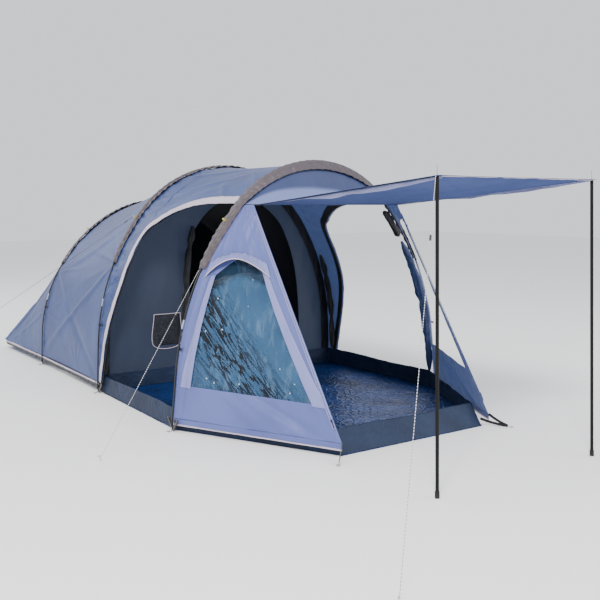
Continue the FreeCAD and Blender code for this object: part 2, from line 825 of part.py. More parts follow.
def build_floors():
    inset = 26
    back = middle_y + 28
    height = size["TubWall"]
    rake = (sill_y - hinge_y) / (size["HingeHeight"] - size["HemHeight"])
    low_front = sill_y + 34
    top_front = low_front - rake * height
    cloth_in = size["FlyGap"] + size["Cloth"] + inset
    bottom = [
        (size["SillHalfWidth"] - inset, low_front),
        (front.foot - cloth_in, front_y + 20),
        (middle.foot - cloth_in, back),
    ]
    top = [
        (size["SillHalfWidth"] - inset, top_front),
        (front.half_width_at(height) - cloth_in, front_y + 20),
        (middle.half_width_at(height) - cloth_in, back),
    ]
    keep_shape("groundsheet", tub(mirrored(bottom), mirrored(top), height, size["Cloth"]))
    edge = size["InnerGap"] + 14
    rear_edge = rear_y + size["InnerTail"]
    low = [
        (middle.foot - edge, middle_y + 56),
        (rear.foot - edge, rear_y),
        (rear.foot - edge - 60, rear_edge - 50),
    ]
    high = [(x - 6, y if y < rear_edge - 60 else y - 60) for x, y in low]
    keep_shape("cabin_floor", tub(mirrored(low), mirrored(high), height * 0.7, size["Cloth"]))


def build_inner_tent():
    gap = -size["InnerGap"]
    plane = middle_y + 46
    steps = 16
    start = middle.run_at(6, gap)
    outline = middle.curve(start, 2 * middle.half - start, steps, gap, 46)
    wall = plate(outline, Vector(0, size["Cloth"], 0))
    door = [(-340, 150), (-340, 1130), (-250, 1390), (-60, 1560), (170, 1620)]
    door += [(420, 1540), (640, 1330), (780, 960), (830, 520), (830, 150)]
    cutter = plate([Vector(x, plane - 5, z) for x, z in door], Vector(0, size["Cloth"] + 10, 0))
    wall = wall.cut(cutter)
    for x in (-341, -250, -60, 170, 420, 640, 780, 830):
        beside_door = not -340 < x < 830
        seam = Part.makeBox(1, 40, 2000, Vector(x, plane - 20, -10 if beside_door else 160))
        wall = wall.cut(seam)
    keep_shape("inner_front_wall", wall)
    start = middle.run_at(6, gap)
    stop = rear.run_at(6, gap)
    near = middle.curve(start, 2 * middle.half - start, steps, gap, 50)
    far = rear.curve(stop, 2 * rear.half - stop, steps, gap)
    keep_shape("inner_tunnel", cloth([near, far]))
    edge = rear_y + size["InnerTail"]
    half = rear.foot + gap - 50
    ridge = steps // 4
    ground = []
    for index in range(steps + 1):
        if index < ridge:
            ground.append(Vector(-half - 14, edge - 160 * (1 - index / ridge), 6))
        elif index > steps - ridge:
            ground.append(Vector(half + 14, edge - 160 * (1 - (steps - index) / ridge), 6))
        else:
            share = (index - ridge) / (steps - 2 * ridge)
            ground.append(Vector(-half + 2 * half * share, edge, 6))
    top = [point + Vector(0, 3, 0) for point in far]
    keep_shape("inner_rear_wall", cloth([top, ground]))
    band = []
    for reach in (-32, -116):
        start = middle.run_at(6, reach)
        band.append(middle.curve(start, 2 * middle.half - start, 24, reach, 34))
    outer, inner = band
    keep_shape("inner_edge_band", plate(outer + list(reversed(inner)), Vector(0, size["Cloth"], 0)))


def build_inner_fittings():
    plane = middle_y + 46
    path = [Vector(-385, plane - 34, 170), Vector(-400, plane - 34, 760), Vector(-330, plane - 34, 1360)]
    keep_shape("inner_door_roll", arc_pipe(path, 30))
    pocket = primitive("Part::Box", "Pocket", {"Width": "Dimensions.Cloth * 3"})
    pocket.Length = 250
    pocket.Height = 270
    pocket.Placement.Base = Vector(-690, plane - 3 * size["Cloth"], 330)
    keep(pocket, "mesh_pocket")


def build_toggles():
    """Small toggles that hold the rolled curtain, the inner door and the porch door."""
    places = [porch(-1, across, up, -78) for across, up in ((0.28, 0.66), (0.5, 0.685), (0.7, 0.675))]
    front_of_wall = middle_y + 46 - 72
    places += [Vector(x, front_of_wall, z) for x, z in ((-392, 480), (-400, 800), (-372, 1180))]
    roll_run = 2 * front.half - front.run_at(760)
    places.append(front.point(roll_run, -96, -88))
    bars = []
    for number, place in enumerate(places):
        bar = primitive("Part::Cylinder", f"Toggle{number}", {"Radius": "5 mm", "Height": "34 mm"})
        bar.Placement = Placement(place + Vector(0, 0, -17), Rotation())
        bars.append(bar)
    group("tie_toggles", bars)


# ---------------------------------------------------------------- canopy and its poles


def canopy_point(x, along, drop=0.0):
    """A point on the open canopy, from its hinge line to its front edge."""
    y = hinge_y - along * math.cos(rise)
    z = size["HingeHeight"] + along * math.sin(rise) - drop
    return Vector(x, y, z)


def canopy_normal():
    return Vector(0, math.sin(rise), math.cos(rise))


def eyelet_place(side):
    return canopy_point(side * size["EyeletHalfWidth"], size["CanopyLength"])


def build_canopy():
    reach = size["CanopyLength"] + size["CanopyMargin"]
    tip = size["EyeletHalfWidth"] + size["EyeletRadius"] + 4
    root = size["HingeHalfWidth"] - 6
    rows = []
    for along in (4.0, reach / 2, reach):
        half = root + (tip - root) * along / reach
        rows.append([canopy_point(half * (step / 4 - 1), along) for step in range(9)])
    panel = cloth(rows, flip=True)
    thick = size["Cloth"]
    for side in SIDES:
        start = eyelet_place(side) - canopy_normal() * 10
        panel = panel.cut(Part.makeCylinder(size["EyeletRadius"], 20 + thick, start, canopy_normal()))
    keep_shape("canopy_panel", panel)
    eyelets = []
    for side in SIDES:
        placement = standing(eyelet_place(side) - canopy_normal() * (thick / 2 + 2), canopy_normal())
        rim = {"Radius": "Dimensions.EyeletRadius", "Height": "4 mm"}
        hole = {"Radius": "Dimensions.SpikeRadius + 2", "Height": "4 mm"}
        outer = primitive("Part::Cylinder", f"EyeletRim{side + 1}", rim, placement)
        inner = primitive("Part::Cylinder", f"EyeletHole{side + 1}", hole, placement)
        eyelets.append(cut(f"Eyelet{side + 1}", outer, inner))
    group("canopy_eyelets", eyelets)
    near = [canopy_point(x, reach - 2, 5.5) for x in (-tip + 34, 0, tip - 34)]
    far = [canopy_point(x, reach - 26, 5.5) for x in (-tip + 34, 0, tip - 34)]
    keep_shape("canopy_binding", cloth([near, far], 2.4, flip=True))


def pole_top():
    """The shoulder of a canopy pole stands just under its eyelet."""
    return eyelet_z - 3.0 - size["PoleRadius"] * math.tan(rise) - 1.0


def build_canopy_poles():
    """Two steel tubes end to end, a rubber foot and a spike on each side of the canopy."""
    foot_height = 14.0
    spigot = 60.0
    for label, side in (("left", -1), ("right", 1)):
        base = Vector(side * size["EyeletHalfWidth"], eyelet_y, 0)
        tag = label.capitalize()
        bore = "Dimensions.PoleRadius - Dimensions.PoleWall"
        tube = {"Radius": "Dimensions.PoleRadius", "Height": "Dimensions.LowerTube"}
        lower = primitive("Part::Cylinder", f"{tag}Lower", tube)
        tube["Radius"] = bore
        lower_bore = primitive("Part::Cylinder", f"{tag}LowerBore", tube)
        upper = primitive("Part::Cylinder", f"{tag}Upper", {"Radius": "Dimensions.PoleRadius"})
        upper_bore = primitive("Part::Cylinder", f"{tag}UpperBore", {"Radius": bore})
        joint = primitive("Part::Cylinder", f"{tag}Spigot", {"Radius": bore + " - Dimensions.FitGap"})
        start = foot_height - 8
        joint_height = start + size["LowerTube"]
        for item in (lower, lower_bore):
            item.Placement.Base = base + Vector(0, 0, start)
        for item in (upper, upper_bore):
            item.Height = pole_top() - joint_height
            item.Placement.Base = base + Vector(0, 0, joint_height)
        joint.Height = 2 * spigot
        joint.Placement.Base = base + Vector(0, 0, joint_height - spigot)
        tubes = [cut(f"{tag}LowerTube", lower, lower_bore), cut(f"{tag}UpperTube", upper, upper_bore), joint]
        group(f"{label}_canopy_pole", tubes)
        cup = {"Radius": "Dimensions.PoleRadius + 3", "Height": "34 mm"}
        cap = primitive("Part::Cylinder", f"{tag}CapSolid", cup)
        cup["Radius"] = "Dimensions.PoleRadius + Dimensions.FitGap"
        well = primitive("Part::Cylinder", f"{tag}CapWell", cup)
        cap.Placement.Base = base
        well.Placement.Base = base + Vector(0, 0, start)
        keep(cut(f"{tag}Cap", cap, well), f"{label}_pole_foot")
        pin = {"Radius": "Dimensions.SpikeRadius", "Height": "Dimensions.SpikeLength + 30"}
        shank = primitive("Part::Cylinder", f"{tag}Shank", pin)
        stopper = {"Radius": bore + " - Dimensions.FitGap", "Height": "30 mm"}
        plug = primitive("Part::Cylinder", f"{tag}Plug", stopper)
        shank.Placement.Base = base + Vector(0, 0, pole_top() - 30)
        plug.Placement.Base = base + Vector(0, 0, pole_top() - 30)
        keep(fuse(f"{tag}SpikeWhole", shank, plug), f"{label}_pole_spike")


# ---------------------------------------------------------------- zip and corner straps


def slope_direction(side):
    low, high = porch(side, 1, 0), porch(side, 1, 1)
    return (high - low).normalize()


def beside_edge(side, up, distance, offset):
    """A place a set distance from the sloping edge, on the outer face of the side panel."""
    wide = (porch(side, 1, up) - porch(side, 0, up)).Length
    return porch(side, 1 - distance / wide, up, offset)


def build_zips():
    """A coil zip along each sloping edge."""
    tracks = []
    for side in SIDES:
        rows = []
        for distance in (26, 4):
            rows.append([beside_edge(side, 0.05 + 0.9 * step / 6, distance, 3.8) for step in range(7)])
        tracks.append(cloth(rows, 1.2, flip=side < 0))
    keep_shape("front_zip_tracks", Part.makeCompound(tracks))


def origin_plane(body, role):
    return [item for item in body.Origin.OriginFeatures if item.Role == role][0]


def pad(body, name, outline, height, lift=0.0):
    """A pad of a closed outline on the body's XY plane."""
    sketch = body.newObject("Sketcher::SketchObject", name + "Sketch")
    sketch.AttachmentSupport = [(origin_plane(body, "XY_Plane"), "")]
    sketch.MapMode = "FlatFace"
    sketch.AttachmentOffset = Placement(Vector(0, 0, lift), Rotation())
    count = len(outline)
    for index, corner in enumerate(outline):
        after = outline[(index + 1) % count]
        sketch.addGeometry(Part.LineSegment(Vector(*corner, 0), Vector(*after, 0)), False)
    for index in range(count):
        sketch.addConstraint(Sketcher.Constraint("Coincident", index, 2, (index + 1) % count, 1))
    feature = body.newObject("PartDesign::Pad", name)
    feature.Profile = sketch
    feature.setExpression("Length", height)
    document.recompute()
    return feature


def build_slider(label, side):
    """A slider's wedge and its pull tab, on the outer face of the zip."""
    place = beside_edge(side, 0.075, 12, 6.9)
    outward = (beside_edge(side, 0.075, 12, 10) - beside_edge(side, 0.075, 12, 1)).normalize()
    body = document.addObject("PartDesign::Body", label.title().replace("_", ""))
    pad(body, label + "_wedge", ((0, -4), (19, -7), (19, 7), (0, 4)), "Dimensions.SliderHeight")
    pull = ((-34, -3.5), (4, -3.5), (4, 3.5), (-34, 3.5))
    pad(body, label + "_pull", pull, "Dimensions.SliderHeight / 2", 1.2)
    body.Placement = axes_frame(place, slope_direction(side), outward)
    keep(body, label)


def corner_points(side):
    """The strap at a front corner: sewn high on the sloping edge, round a peg, back to the floor."""
    high = porch(side, 1.0, 0.045) + Vector(side * 6, -8, 0)
    peg = Vector(side * (size["SillHalfWidth"] + 96), sill_y - 92, LOWER + 6)
    low = Vector(side * (size["SillHalfWidth"] + 6), sill_y - 8, LOWER + 6)
    return high, peg, low


def build_corner_straps():
    straps = []
    for side in SIDES:
        high, peg, low = corner_points(side)
        upright = Vector(0, 0, 1)
        for begin, end in ((high, peg), (low, peg + Vector(-side * 8, 8, -1))):
            along = (end - begin).normalize()
            face = upright.cross(along).normalize()
            thick = face * 2.0
            wide = along.cross(face).normalize() * 9.0
            corners = [begin - wide * 0.5, end - wide * 0.5, end + wide * 0.5, begin + wide * 0.5]
            straps.append(plate(corners, thick))
    keep_shape("corner_straps", Part.makeCompound(straps))


# ---------------------------------------------------------------- guy lines


def peg_place(name):
    """Where each guy line meets its peg, at the hook's height."""
    places = {
        "middle": Vector(-2500, front_y + 2800, 24),
        "front": Vector(-1870, front_y - 350, 24),
        "pole": Vector(-1600, front_y - 2750, 24),
    }
    return places[name]


def guy_start(name):
    if name == "middle":
        root, outward, _ = tab_frame(middle, -1)
        return root + outward * (TAB_REACH - 4)
    if name == "front":
        run = front.run_at(front.sleeve_end) - 10
        place, outward, _ = front.frame(run)
        return place + outward * (size["RodRadius"] + 6)
    return Vector(-size["EyeletHalfWidth"] - size["SpikeRadius"] - 3, eyelet_y, eyelet_z + 34)


def build_guy_lines():
    """Taut cords from the tent to pegs, a runner on each, and the pegs' heads."""
    pegs = []
    for name in ("middle", "front", "pole"):
        start, stop = guy_start(name), peg_place(name)
        along = (stop - start).normalize()
        cord = primitive("Part::Cylinder", name.title() + "Cord", {"Radius": "Dimensions.CordRadius"})
        cord.Height = (stop - start).Length - 6
        cord.Placement = standing(start + along * 3, along)
        keep(cord, f"{name}_guy_line")
        print(f"{name} guy line: straight, {cord.Height.Value:.0f} mm")
        plate_body = primitive("Part::Box", name.title() + "RunnerPlate", {"Height": "5 mm"})
        plate_body.Length = 32
        plate_body.Width = 11
        loose = {"Radius": "Dimensions.CordRadius + 0.5"}
        bore = primitive("Part::Cylinder", name.title() + "RunnerBore", loose)
        bore.Height = 40
        at = start + along * RUNNER_AT[name]
        frame = axes_frame(at, along, Vector(0, 0, 1))
        plate_body.Placement = Placement(at + frame.Rotation.multVec(Vector(0, -5.5, -2.5)), frame.Rotation)
        bore.Placement = standing(at - along * 4, along)
        keep(cut(name.title() + "Runner", plate_body, bore), f"{name}_guy_runner")
        shaft = primitive("Part::Cylinder", name.title() + "PegShaft", {"Radius": "3 mm"})
        shaft.Height = 34
        foot = Vector(stop.x, stop.y, 0) + Vector(along.x, along.y, 0).normalize() * 9
        shaft.Placement.Base = foot
        hook = primitive("Part::Cylinder", name.title() + "PegHook", {"Radius": "3 mm"})
        hook.Height = 20
        hook.Placement = standing(foot + Vector(0, 0, 31), Vector(along.x, along.y, 0).normalize())
        pegs.append(fuse(name.title() + "Peg", shaft, hook))
    group("guy_pegs", pegs)
    root, outward, _ = tab_frame(front, 1)
    begin = root + outward * (TAB_REACH - 4)
    direction = Vector(0.55, -0.45, -0.70).normalize()
    stub = primitive("Part::Cylinder", "StubCord", {"Radius": "Dimensions.CordRadius"})
    stub.Height = 96
    stub.Placement = standing(begin + direction * 3, direction)
    keep(stub, "tied_guy_line")


RUNNER_AT = {"middle": 70, "front": 380, "pole": 420}

build_arch_poles()
build_ferrules()
build_sleeves()
build_foot_pins()
build_peg_rings()
build_foot_webbing()
build_pole_clips()
build_sleeve_hooks()
build_guy_tabs()
build_rear_wall()
build_rear_bay()
build_front_bay()
build_door_bindings()
build_hem()
build_porch()
build_window_trim()
build_brow()
build_rolls()
build_floors()
build_inner_tent()
build_inner_fittings()
build_toggles()
build_canopy()
build_canopy_poles()
build_zips()
build_slider("left_zip_slider", -1)
build_slider("right_zip_slider", 1)
build_corner_straps()
build_guy_lines()

document.recompute()
for item in document.Objects:
    if "Invalid" in item.State or "Error" in item.State:
        raise RuntimeError(f"{item.Label} failed: {item.State}")
os.makedirs("parts", exist_ok=True)
for item in nodes:
    shape = item.Shape
    if shape.isNull() or not shape.isValid() or shape.Volume <= 0:
        raise RuntimeError(f"{item.Label} has no valid solid")
    shape.exportStep(f"parts/{item.Label}.step")
ON_CORDS = ("middle_guy", "front_guy", "pole_guy", "guy_pegs", "tied_guy")
tent = FreeCAD.BoundBox()
for item in nodes:
    if not item.Label.startswith(ON_CORDS):
        tent.add(item.Shape.optimalBoundingBox(True, False))
print(len(nodes), "nodes, tent without its guy lines", tent)
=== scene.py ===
import math

import bpy
import numpy as np
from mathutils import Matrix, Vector


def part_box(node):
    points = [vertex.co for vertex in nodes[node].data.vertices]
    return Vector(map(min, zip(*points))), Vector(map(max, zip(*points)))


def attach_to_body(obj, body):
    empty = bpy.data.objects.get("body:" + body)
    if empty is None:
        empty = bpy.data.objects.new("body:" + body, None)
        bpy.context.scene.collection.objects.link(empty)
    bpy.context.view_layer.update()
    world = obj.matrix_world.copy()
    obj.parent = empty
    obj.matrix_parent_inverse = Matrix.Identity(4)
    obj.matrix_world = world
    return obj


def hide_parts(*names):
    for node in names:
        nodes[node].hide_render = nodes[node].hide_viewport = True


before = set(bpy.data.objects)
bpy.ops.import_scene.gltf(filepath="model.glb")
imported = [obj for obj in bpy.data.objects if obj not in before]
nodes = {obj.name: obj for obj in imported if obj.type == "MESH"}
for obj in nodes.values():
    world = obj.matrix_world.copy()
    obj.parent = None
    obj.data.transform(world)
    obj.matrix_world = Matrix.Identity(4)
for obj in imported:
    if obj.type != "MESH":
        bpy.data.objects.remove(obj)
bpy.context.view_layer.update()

# A pitched tunnel tent: three fibreglass arches, a polyester fly with clip-on poles below the sleeves,
# a dark inner tent at the rear and a front door held out as a canopy on two steel poles.


def middleOf(node):
    low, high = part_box(node)
    return (low + high) / 2


def attach(piece, body, replaced=()):
    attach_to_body(piece, body)
    if replaced:
        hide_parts(*replaced)


# ---- camera and studio

view = {"place": (-3.772, -6.265, 1.55), "aim": (0.5697, 0.8219, 0.0), "lens": 50.26, "shift": -0.159}


def makeCamera():
    cameraData = bpy.data.cameras.new("camera")
    cameraData.lens = view["lens"]
    cameraData.sensor_width = 36.0
    cameraData.shift_y = view["shift"]
    cameraData.clip_end = 200.0
    camera = bpy.data.objects.new("camera", cameraData)
    camera.location = view["place"]
    camera.rotation_euler = Vector(view["aim"]).to_track_quat("-Z", "Y").to_euler()
    bpy.context.scene.collection.objects.link(camera)
    bpy.context.scene.camera = camera


studio = {
    "floor": 60.0,
    "lights": (
        # name, place, size, power, colour
        ("keyLight", (-6.0, -8.0, 8.0), 2.6, 1500.0, (1.0, 0.97, 0.93)),
        ("fillLight", (7.0, -7.0, 5.0), 6.0, 330.0, (0.93, 0.96, 1.0)),
        ("rearLight", (-5.0, 8.0, 6.0), 5.0, 420.0, (0.95, 0.97, 1.0)),
    ),
}


def makeStudio():
    bpy.ops.object.select_all(action="DESELECT")
    bpy.ops.mesh.primitive_plane_add(size=studio["floor"], location=(0, 0, -0.001))
    floor = bpy.context.object
    floor.name = "studioFloor"
    floor.data.materials.append(plainFinish("studioPaper", "#F4F4F4", 0.9))
    for name, place, size, power, colour in studio["lights"]:
        lightData = bpy.data.lights.new(name, "AREA")
        lightData.size = size
        lightData.energy = power
        lightData.color = colour
        light = bpy.data.objects.new(name, lightData)
        light.location = place
        light.rotation_euler = (Vector((0, 0, 0.8)) - Vector(place)).to_track_quat("-Z", "Y").to_euler()
        bpy.context.scene.collection.objects.link(light)
    world = bpy.data.worlds.new("studioWorld")
    world.use_nodes = True
    world.node_tree.nodes["Background"].inputs["Color"].default_value = (0.93, 0.95, 1.0, 1)
    world.node_tree.nodes["Background"].inputs["Strength"].default_value = 1.15
    bpy.context.scene.world = world


# ---- materials


def linear(hexColour):
    channels = [int(hexColour[i:i + 2], 16) / 255 for i in (1, 3, 5)]
    return [c / 12.92 if c <= 0.04045 else ((c + 0.055) / 1.055) ** 2.4 for c in channels] + [1.0]


def addNode(tree, kind, settings=None, links=None):
    node = tree.nodes.new(kind)
    for key, value in (settings or {}).items():
        if isinstance(key, int) or key in node.inputs:
            node.inputs[key].default_value = value
        else:
            setattr(node, key, value)
    for key, source in (links or {}).items():
        tree.links.new(source, node.inputs[key])
    return node


def newMaterial(name, shaderSettings):
    material = bpy.data.materials.new(name)
    material.use_nodes = True
    tree = material.node_tree
    shader = tree.nodes["Principled BSDF"]
    for key, value in shaderSettings.items():
        shader.inputs[key].default_value = value
    return material, tree, shader


def plainFinish(name, colour, roughness):
    material, _, _ = newMaterial(name, {"Base Color": linear(colour), "Roughness": roughness})
    return material


def mixColours(tree, factor, first, second):
    mix = addNode(tree, "ShaderNodeMix", {"data_type": "RGBA"}, {0: factor})
    for socket, value in ((6, first), (7, second)):
        if isinstance(value, str):
            mix.inputs[socket].default_value = linear(value)
        else:
            tree.links.new(value, mix.inputs[socket])
    return mix.outputs[2]


stitches = {"fromEdge": 0.009, "half": 0.0014, "halfPitch": 0.0035, "halfGap": 0.0011}
bandScale = math.pi / 20  # threads to a metre, as the wave texture counts them


def clothFinish(
    name, colour, fade, settings, threadMm=3.0, crinkleMm=45.0, crinkle=0.35, stitch=True, paintedLight=None,
):
    # threads are drawn ten times as coarse as they are, because a real one is too fine to show
    material, tree, shader = newMaterial(name, settings)
    flat = addNode(tree, "ShaderNodeUVMap", {"uv_map": "flat"}).outputs["UV"]
    place = addNode(tree, "ShaderNodeTexCoord").outputs["Object"]
    per = 1000.0 / threadMm
    waves = []
    for direction in ("X", "Y"):
        wave = addNode(
            tree, "ShaderNodeTexWave", {"bands_direction": direction, "Scale": per * bandScale},
            {"Vector": flat},
        )
        waves.append(wave.outputs["Fac"])
    weave = addNode(
        tree, "ShaderNodeMath", {"operation": "MULTIPLY"}, {0: waves[0], 1: waves[1]},
    ).outputs[0]
    creases = addNode(
        tree, "ShaderNodeTexNoise", {"Scale": 1000.0 / crinkleMm, "Detail": 5.0, "Distortion": 1.2},
        {"Vector": place},
    )
    patches = addNode(tree, "ShaderNodeTexNoise", {"Scale": 2.2, "Detail": 3.0}, {"Vector": place})
    blend = addNode(tree, "ShaderNodeMapRange", {1: 0.35, 2: 0.65}, {0: patches.outputs["Fac"]}).outputs[0]
    tint = mixColours(tree, blend, colour, fade)
    if paintedLight:
        # painted light and shade: a second colour laid on by a painted mask, paler where a slack fold turns
        # the brow to the sky, dark blue along the top of the canopy flaps
        turned = addNode(tree, "ShaderNodeAttribute", {"attribute_name": "paintedLight"}).outputs["Fac"]
        tint = mixColours(tree, turned, tint, paintedLight)
    grain = addNode(tree, "ShaderNodeMapRange", {1: 0.0, 2: 1.0, 3: 0.93, 4: 1.0}, {0: weave}).outputs[0]
    shade = addNode(
        tree, "ShaderNodeMix", {"data_type": "RGBA", "blend_type": "MULTIPLY", 0: 1.0}, {6: tint, 7: grain},
    )
    result = shade.outputs[2]
    bumpWeave = addNode(tree, "ShaderNodeBump", {"Strength": 0.12, "Distance": 0.0006}, {"Height": weave})
    bump = addNode(
        tree, "ShaderNodeBump", {"Strength": crinkle, "Distance": 0.006},
        {"Height": creases.outputs["Fac"], "Normal": bumpWeave.outputs[0]},
    )
    if stitch:
        # a row of stitches 9 mm inside each edge, 7 mm from one to the next
        edge = addNode(tree, "ShaderNodeAttribute", {"attribute_name": "edge"}).outputs["Fac"]
        row = addNode(
            tree, "ShaderNodeMath", {"operation": "COMPARE", 1: stitches["fromEdge"], 2: stitches["half"]},
            {0: edge},
        ).outputs[0]
        split = addNode(tree, "ShaderNodeSeparateXYZ", {}, {0: flat})
        along = addNode(
            tree, "ShaderNodeMath", {"operation": "ADD"}, {0: split.outputs[0], 1: split.outputs[1]},
        ).outputs[0]
        step = addNode(
            tree, "ShaderNodeMath", {"operation": "PINGPONG", 1: stitches["halfPitch"]}, {0: along},
        ).outputs[0]
        dash = addNode(
            tree, "ShaderNodeMath", {"operation": "GREATER_THAN", 1: stitches["halfGap"]}, {0: step},
        ).outputs[0]
        thread = addNode(tree, "ShaderNodeMath", {"operation": "MULTIPLY"}, {0: row, 1: dash}).outputs[0]
        result = mixColours(tree, thread, result, fade)
        bump = addNode(
            tree, "ShaderNodeBump", {"Strength": 0.5, "Distance": 0.0012},
            {"Height": thread, "Normal": bump.outputs[0]},
        )
    tree.links.new(result, shader.inputs["Base Color"])
    tree.links.new(bump.outputs[0], shader.inputs["Normal"])
    return material


def hardFinish(name, colour, worn, settings, grainMm=1.5, bump=0.15, stretch=(1, 1, 1)):
    material, tree, shader = newMaterial(name, settings)
    place = addNode(tree, "ShaderNodeTexCoord").outputs["Object"]
    turned = addNode(tree, "ShaderNodeMapping", {"Scale": stretch}, {"Vector": place}).outputs[0]
    grain = addNode(
        tree, "ShaderNodeTexNoise", {"Scale": 1000.0 / grainMm, "Detail": 4.0}, {"Vector": turned},
    )
    patches = addNode(tree, "ShaderNodeTexNoise", {"Scale": 30.0, "Detail": 4.0}, {"Vector": turned})
    blend = addNode(tree, "ShaderNodeMapRange", {1: 0.45, 2: 0.75}, {0: patches.outputs["Fac"]}).outputs[0]
    tree.links.new(mixColours(tree, blend, colour, worn), shader.inputs["Base Color"])
    rough = settings.get("Roughness", 0.5)
    spread = addNode(
        tree, "ShaderNodeMapRange", {3: rough * 0.8, 4: min(rough * 1.3, 1.0)}, {0: grain.outputs["Fac"]},
    )
    tree.links.new(spread.outputs[0], shader.inputs["Roughness"])
    relief = addNode(
        tree, "ShaderNodeBump", {"Strength": bump, "Distance": 0.0004}, {"Height": grain.outputs["Fac"]},
    )
    tree.links.new(relief.outputs[0], shader.inputs["Normal"])
    return material


def filmFinish(name, colour, deep, settings, creaseMm, bump, alpha=1.0, creased=None):
    # creases are the ridges of a distorted noise, as a folded film keeps them
    material, tree, shader = newMaterial(name, settings)
    flat = addNode(tree, "ShaderNodeUVMap", {"uv_map": "flat"}).outputs["UV"]
    place = addNode(tree, "ShaderNodeTexCoord").outputs["Object"]
    wide = addNode(
        tree, "ShaderNodeTexNoise", {"Scale": 1000.0 / creaseMm / 2.5, "Detail": 2.0, "Distortion": 0.8},
        {"Vector": place},
    )
    cells = addNode(
        tree, "ShaderNodeTexVoronoi", {"feature": "DISTANCE_TO_EDGE", "Scale": 1000.0 / creaseMm},
        {"Vector": place},
    )
    ridge = addNode(
        tree, "ShaderNodeMapRange", {1: 0.0, 2: 0.18, 3: 1.0, 4: 0.0}, {0: cells.outputs["Distance"]},
    ).outputs[0]
    height = addNode(
        tree, "ShaderNodeMath", {"operation": "MULTIPLY_ADD", 1: 0.4}, {0: ridge, 2: wide.outputs["Fac"]},
    ).outputs[0]
    relief = addNode(tree, "ShaderNodeBump", {"Strength": bump, "Distance": 0.01}, {"Height": height})
    tree.links.new(relief.outputs[0], shader.inputs["Normal"])
    patches = addNode(tree, "ShaderNodeTexNoise", {"Scale": 3.0, "Detail": 5.0}, {"Vector": flat})
    blend = addNode(tree, "ShaderNodeMapRange", {1: 0.38, 2: 0.66}, {0: patches.outputs["Fac"]}).outputs[0]
    tint = mixColours(tree, blend, colour, deep)
    if creased:
        # painted highlights: pale upright streaks along the folds of the film
        slack = addNode(
            tree, "ShaderNodeMapping", {"Scale": (22.0, 22.0, 1.6)}, {"Vector": place},
        ).outputs[0]
        streaks = addNode(
            tree, "ShaderNodeTexNoise", {"Scale": 1.0, "Detail": 2.0, "Distortion": 0.7}, {"Vector": slack},
        ).outputs["Fac"]
        pale = addNode(
            tree, "ShaderNodeMapRange", {1: 0.52, 2: 0.75, 3: 0.0, 4: 0.4}, {0: streaks},
        ).outputs[0]
        tint = mixColours(tree, pale, tint, "#7FA3C4")
        # dark lines where sharp creases turn away from the light, gathered in patches
        slanted = addNode(
            tree, "ShaderNodeMapping", {"Rotation": (0.0, 0.0, 0.75)}, {"Vector": flat},
        ).outputs[0]
        stretched = addNode(
            tree, "ShaderNodeMapping", {"Scale": (5.0, 38.0, 1.0)}, {"Vector": slanted},
        ).outputs[0]
        lines = addNode(
            tree, "ShaderNodeTexNoise", {"Scale": 1.0, "Detail": 1.5, "Distortion": 0.9},
            {"Vector": stretched},
        ).outputs["Fac"]
        thin = addNode(
            tree, "ShaderNodeMath", {"operation": "COMPARE", 1: 0.5, 2: 0.06}, {0: lines},
        ).outputs[0]
        where = addNode(tree, "ShaderNodeAttribute", {"attribute_name": "creased"}).outputs["Fac"]
        dark = addNode(tree, "ShaderNodeMath", {"operation": "MULTIPLY"}, {0: thin, 1: where}).outputs[0]
        tint = mixColours(tree, dark, tint, creased)
        # a few points where a crease throws the sun back
        points = addNode(tree, "ShaderNodeTexVoronoi", {"Scale": 15.0}, {"Vector": flat})
        spark = addNode(
            tree, "ShaderNodeMath", {"operation": "LESS_THAN", 1: 0.07}, {0: points.outputs["Distance"]},
        ).outputs[0]
        tint = mixColours(tree, spark, tint, "#FFFFFF")
    tree.links.new(tint, shader.inputs["Base Color"])
    shader.inputs["Alpha"].default_value = alpha
    if creased:
        # the film is clearer under the hood
        clear = addNode(tree, "ShaderNodeAttribute", {"attribute_name": "clear"}).outputs["Fac"]
        through = addNode(tree, "ShaderNodeMapRange", {3: alpha, 4: 0.1}, {0: clear}).outputs[0]
        tree.links.new(through, shader.inputs["Alpha"])
    return material


def cordFinish(name, colour, fleck):
    # braid, with a reflective thread that shows as a fleck every 12 mm
    material, tree, shader = newMaterial(name, {"Roughness": 0.6, "Sheen Weight": 0.3})
    place = addNode(tree, "ShaderNodeTexCoord").outputs["Object"]
    braid = addNode(tree, "ShaderNodeTexVoronoi", {"Scale": 420.0}, {"Vector": place})
    split = addNode(tree, "ShaderNodeSeparateXYZ", {}, {0: place})
    step = addNode(
        tree, "ShaderNodeMath", {"operation": "PINGPONG", 1: 0.006}, {0: split.outputs[2]},
    ).outputs[0]
    dash = addNode(tree, "ShaderNodeMath", {"operation": "GREATER_THAN", 1: 0.0027}, {0: step}).outputs[0]
    tree.links.new(mixColours(tree, dash, colour, fleck), shader.inputs["Base Color"])
    relief = addNode(
        tree, "ShaderNodeBump", {"Strength": 0.4, "Distance": 0.0005}, {"Height": braid.outputs["Distance"]},
    )
    tree.links.new(relief.outputs[0], shader.inputs["Normal"])
    return material


def meshFinish(name, colour, holeMm, alpha):
    # knitted net: threads show, and the holes let through what is behind
    material, tree, shader = newMaterial(name, {"Base Color": linear(colour), "Roughness": 0.6})
    flat = addNode(tree, "ShaderNodeUVMap", {"uv_map": "flat"}).outputs["UV"]
    net = addNode(
        tree, "ShaderNodeTexVoronoi", {"feature": "DISTANCE_TO_EDGE", "Scale": 1000.0 / holeMm},
        {"Vector": flat},
    )
    solid = addNode(
        tree, "ShaderNodeMapRange", {1: 0.02, 2: 0.3, 3: 1.0, 4: alpha}, {0: net.outputs["Distance"]},
    ).outputs[0]
    tree.links.new(solid, shader.inputs["Alpha"])
    return material


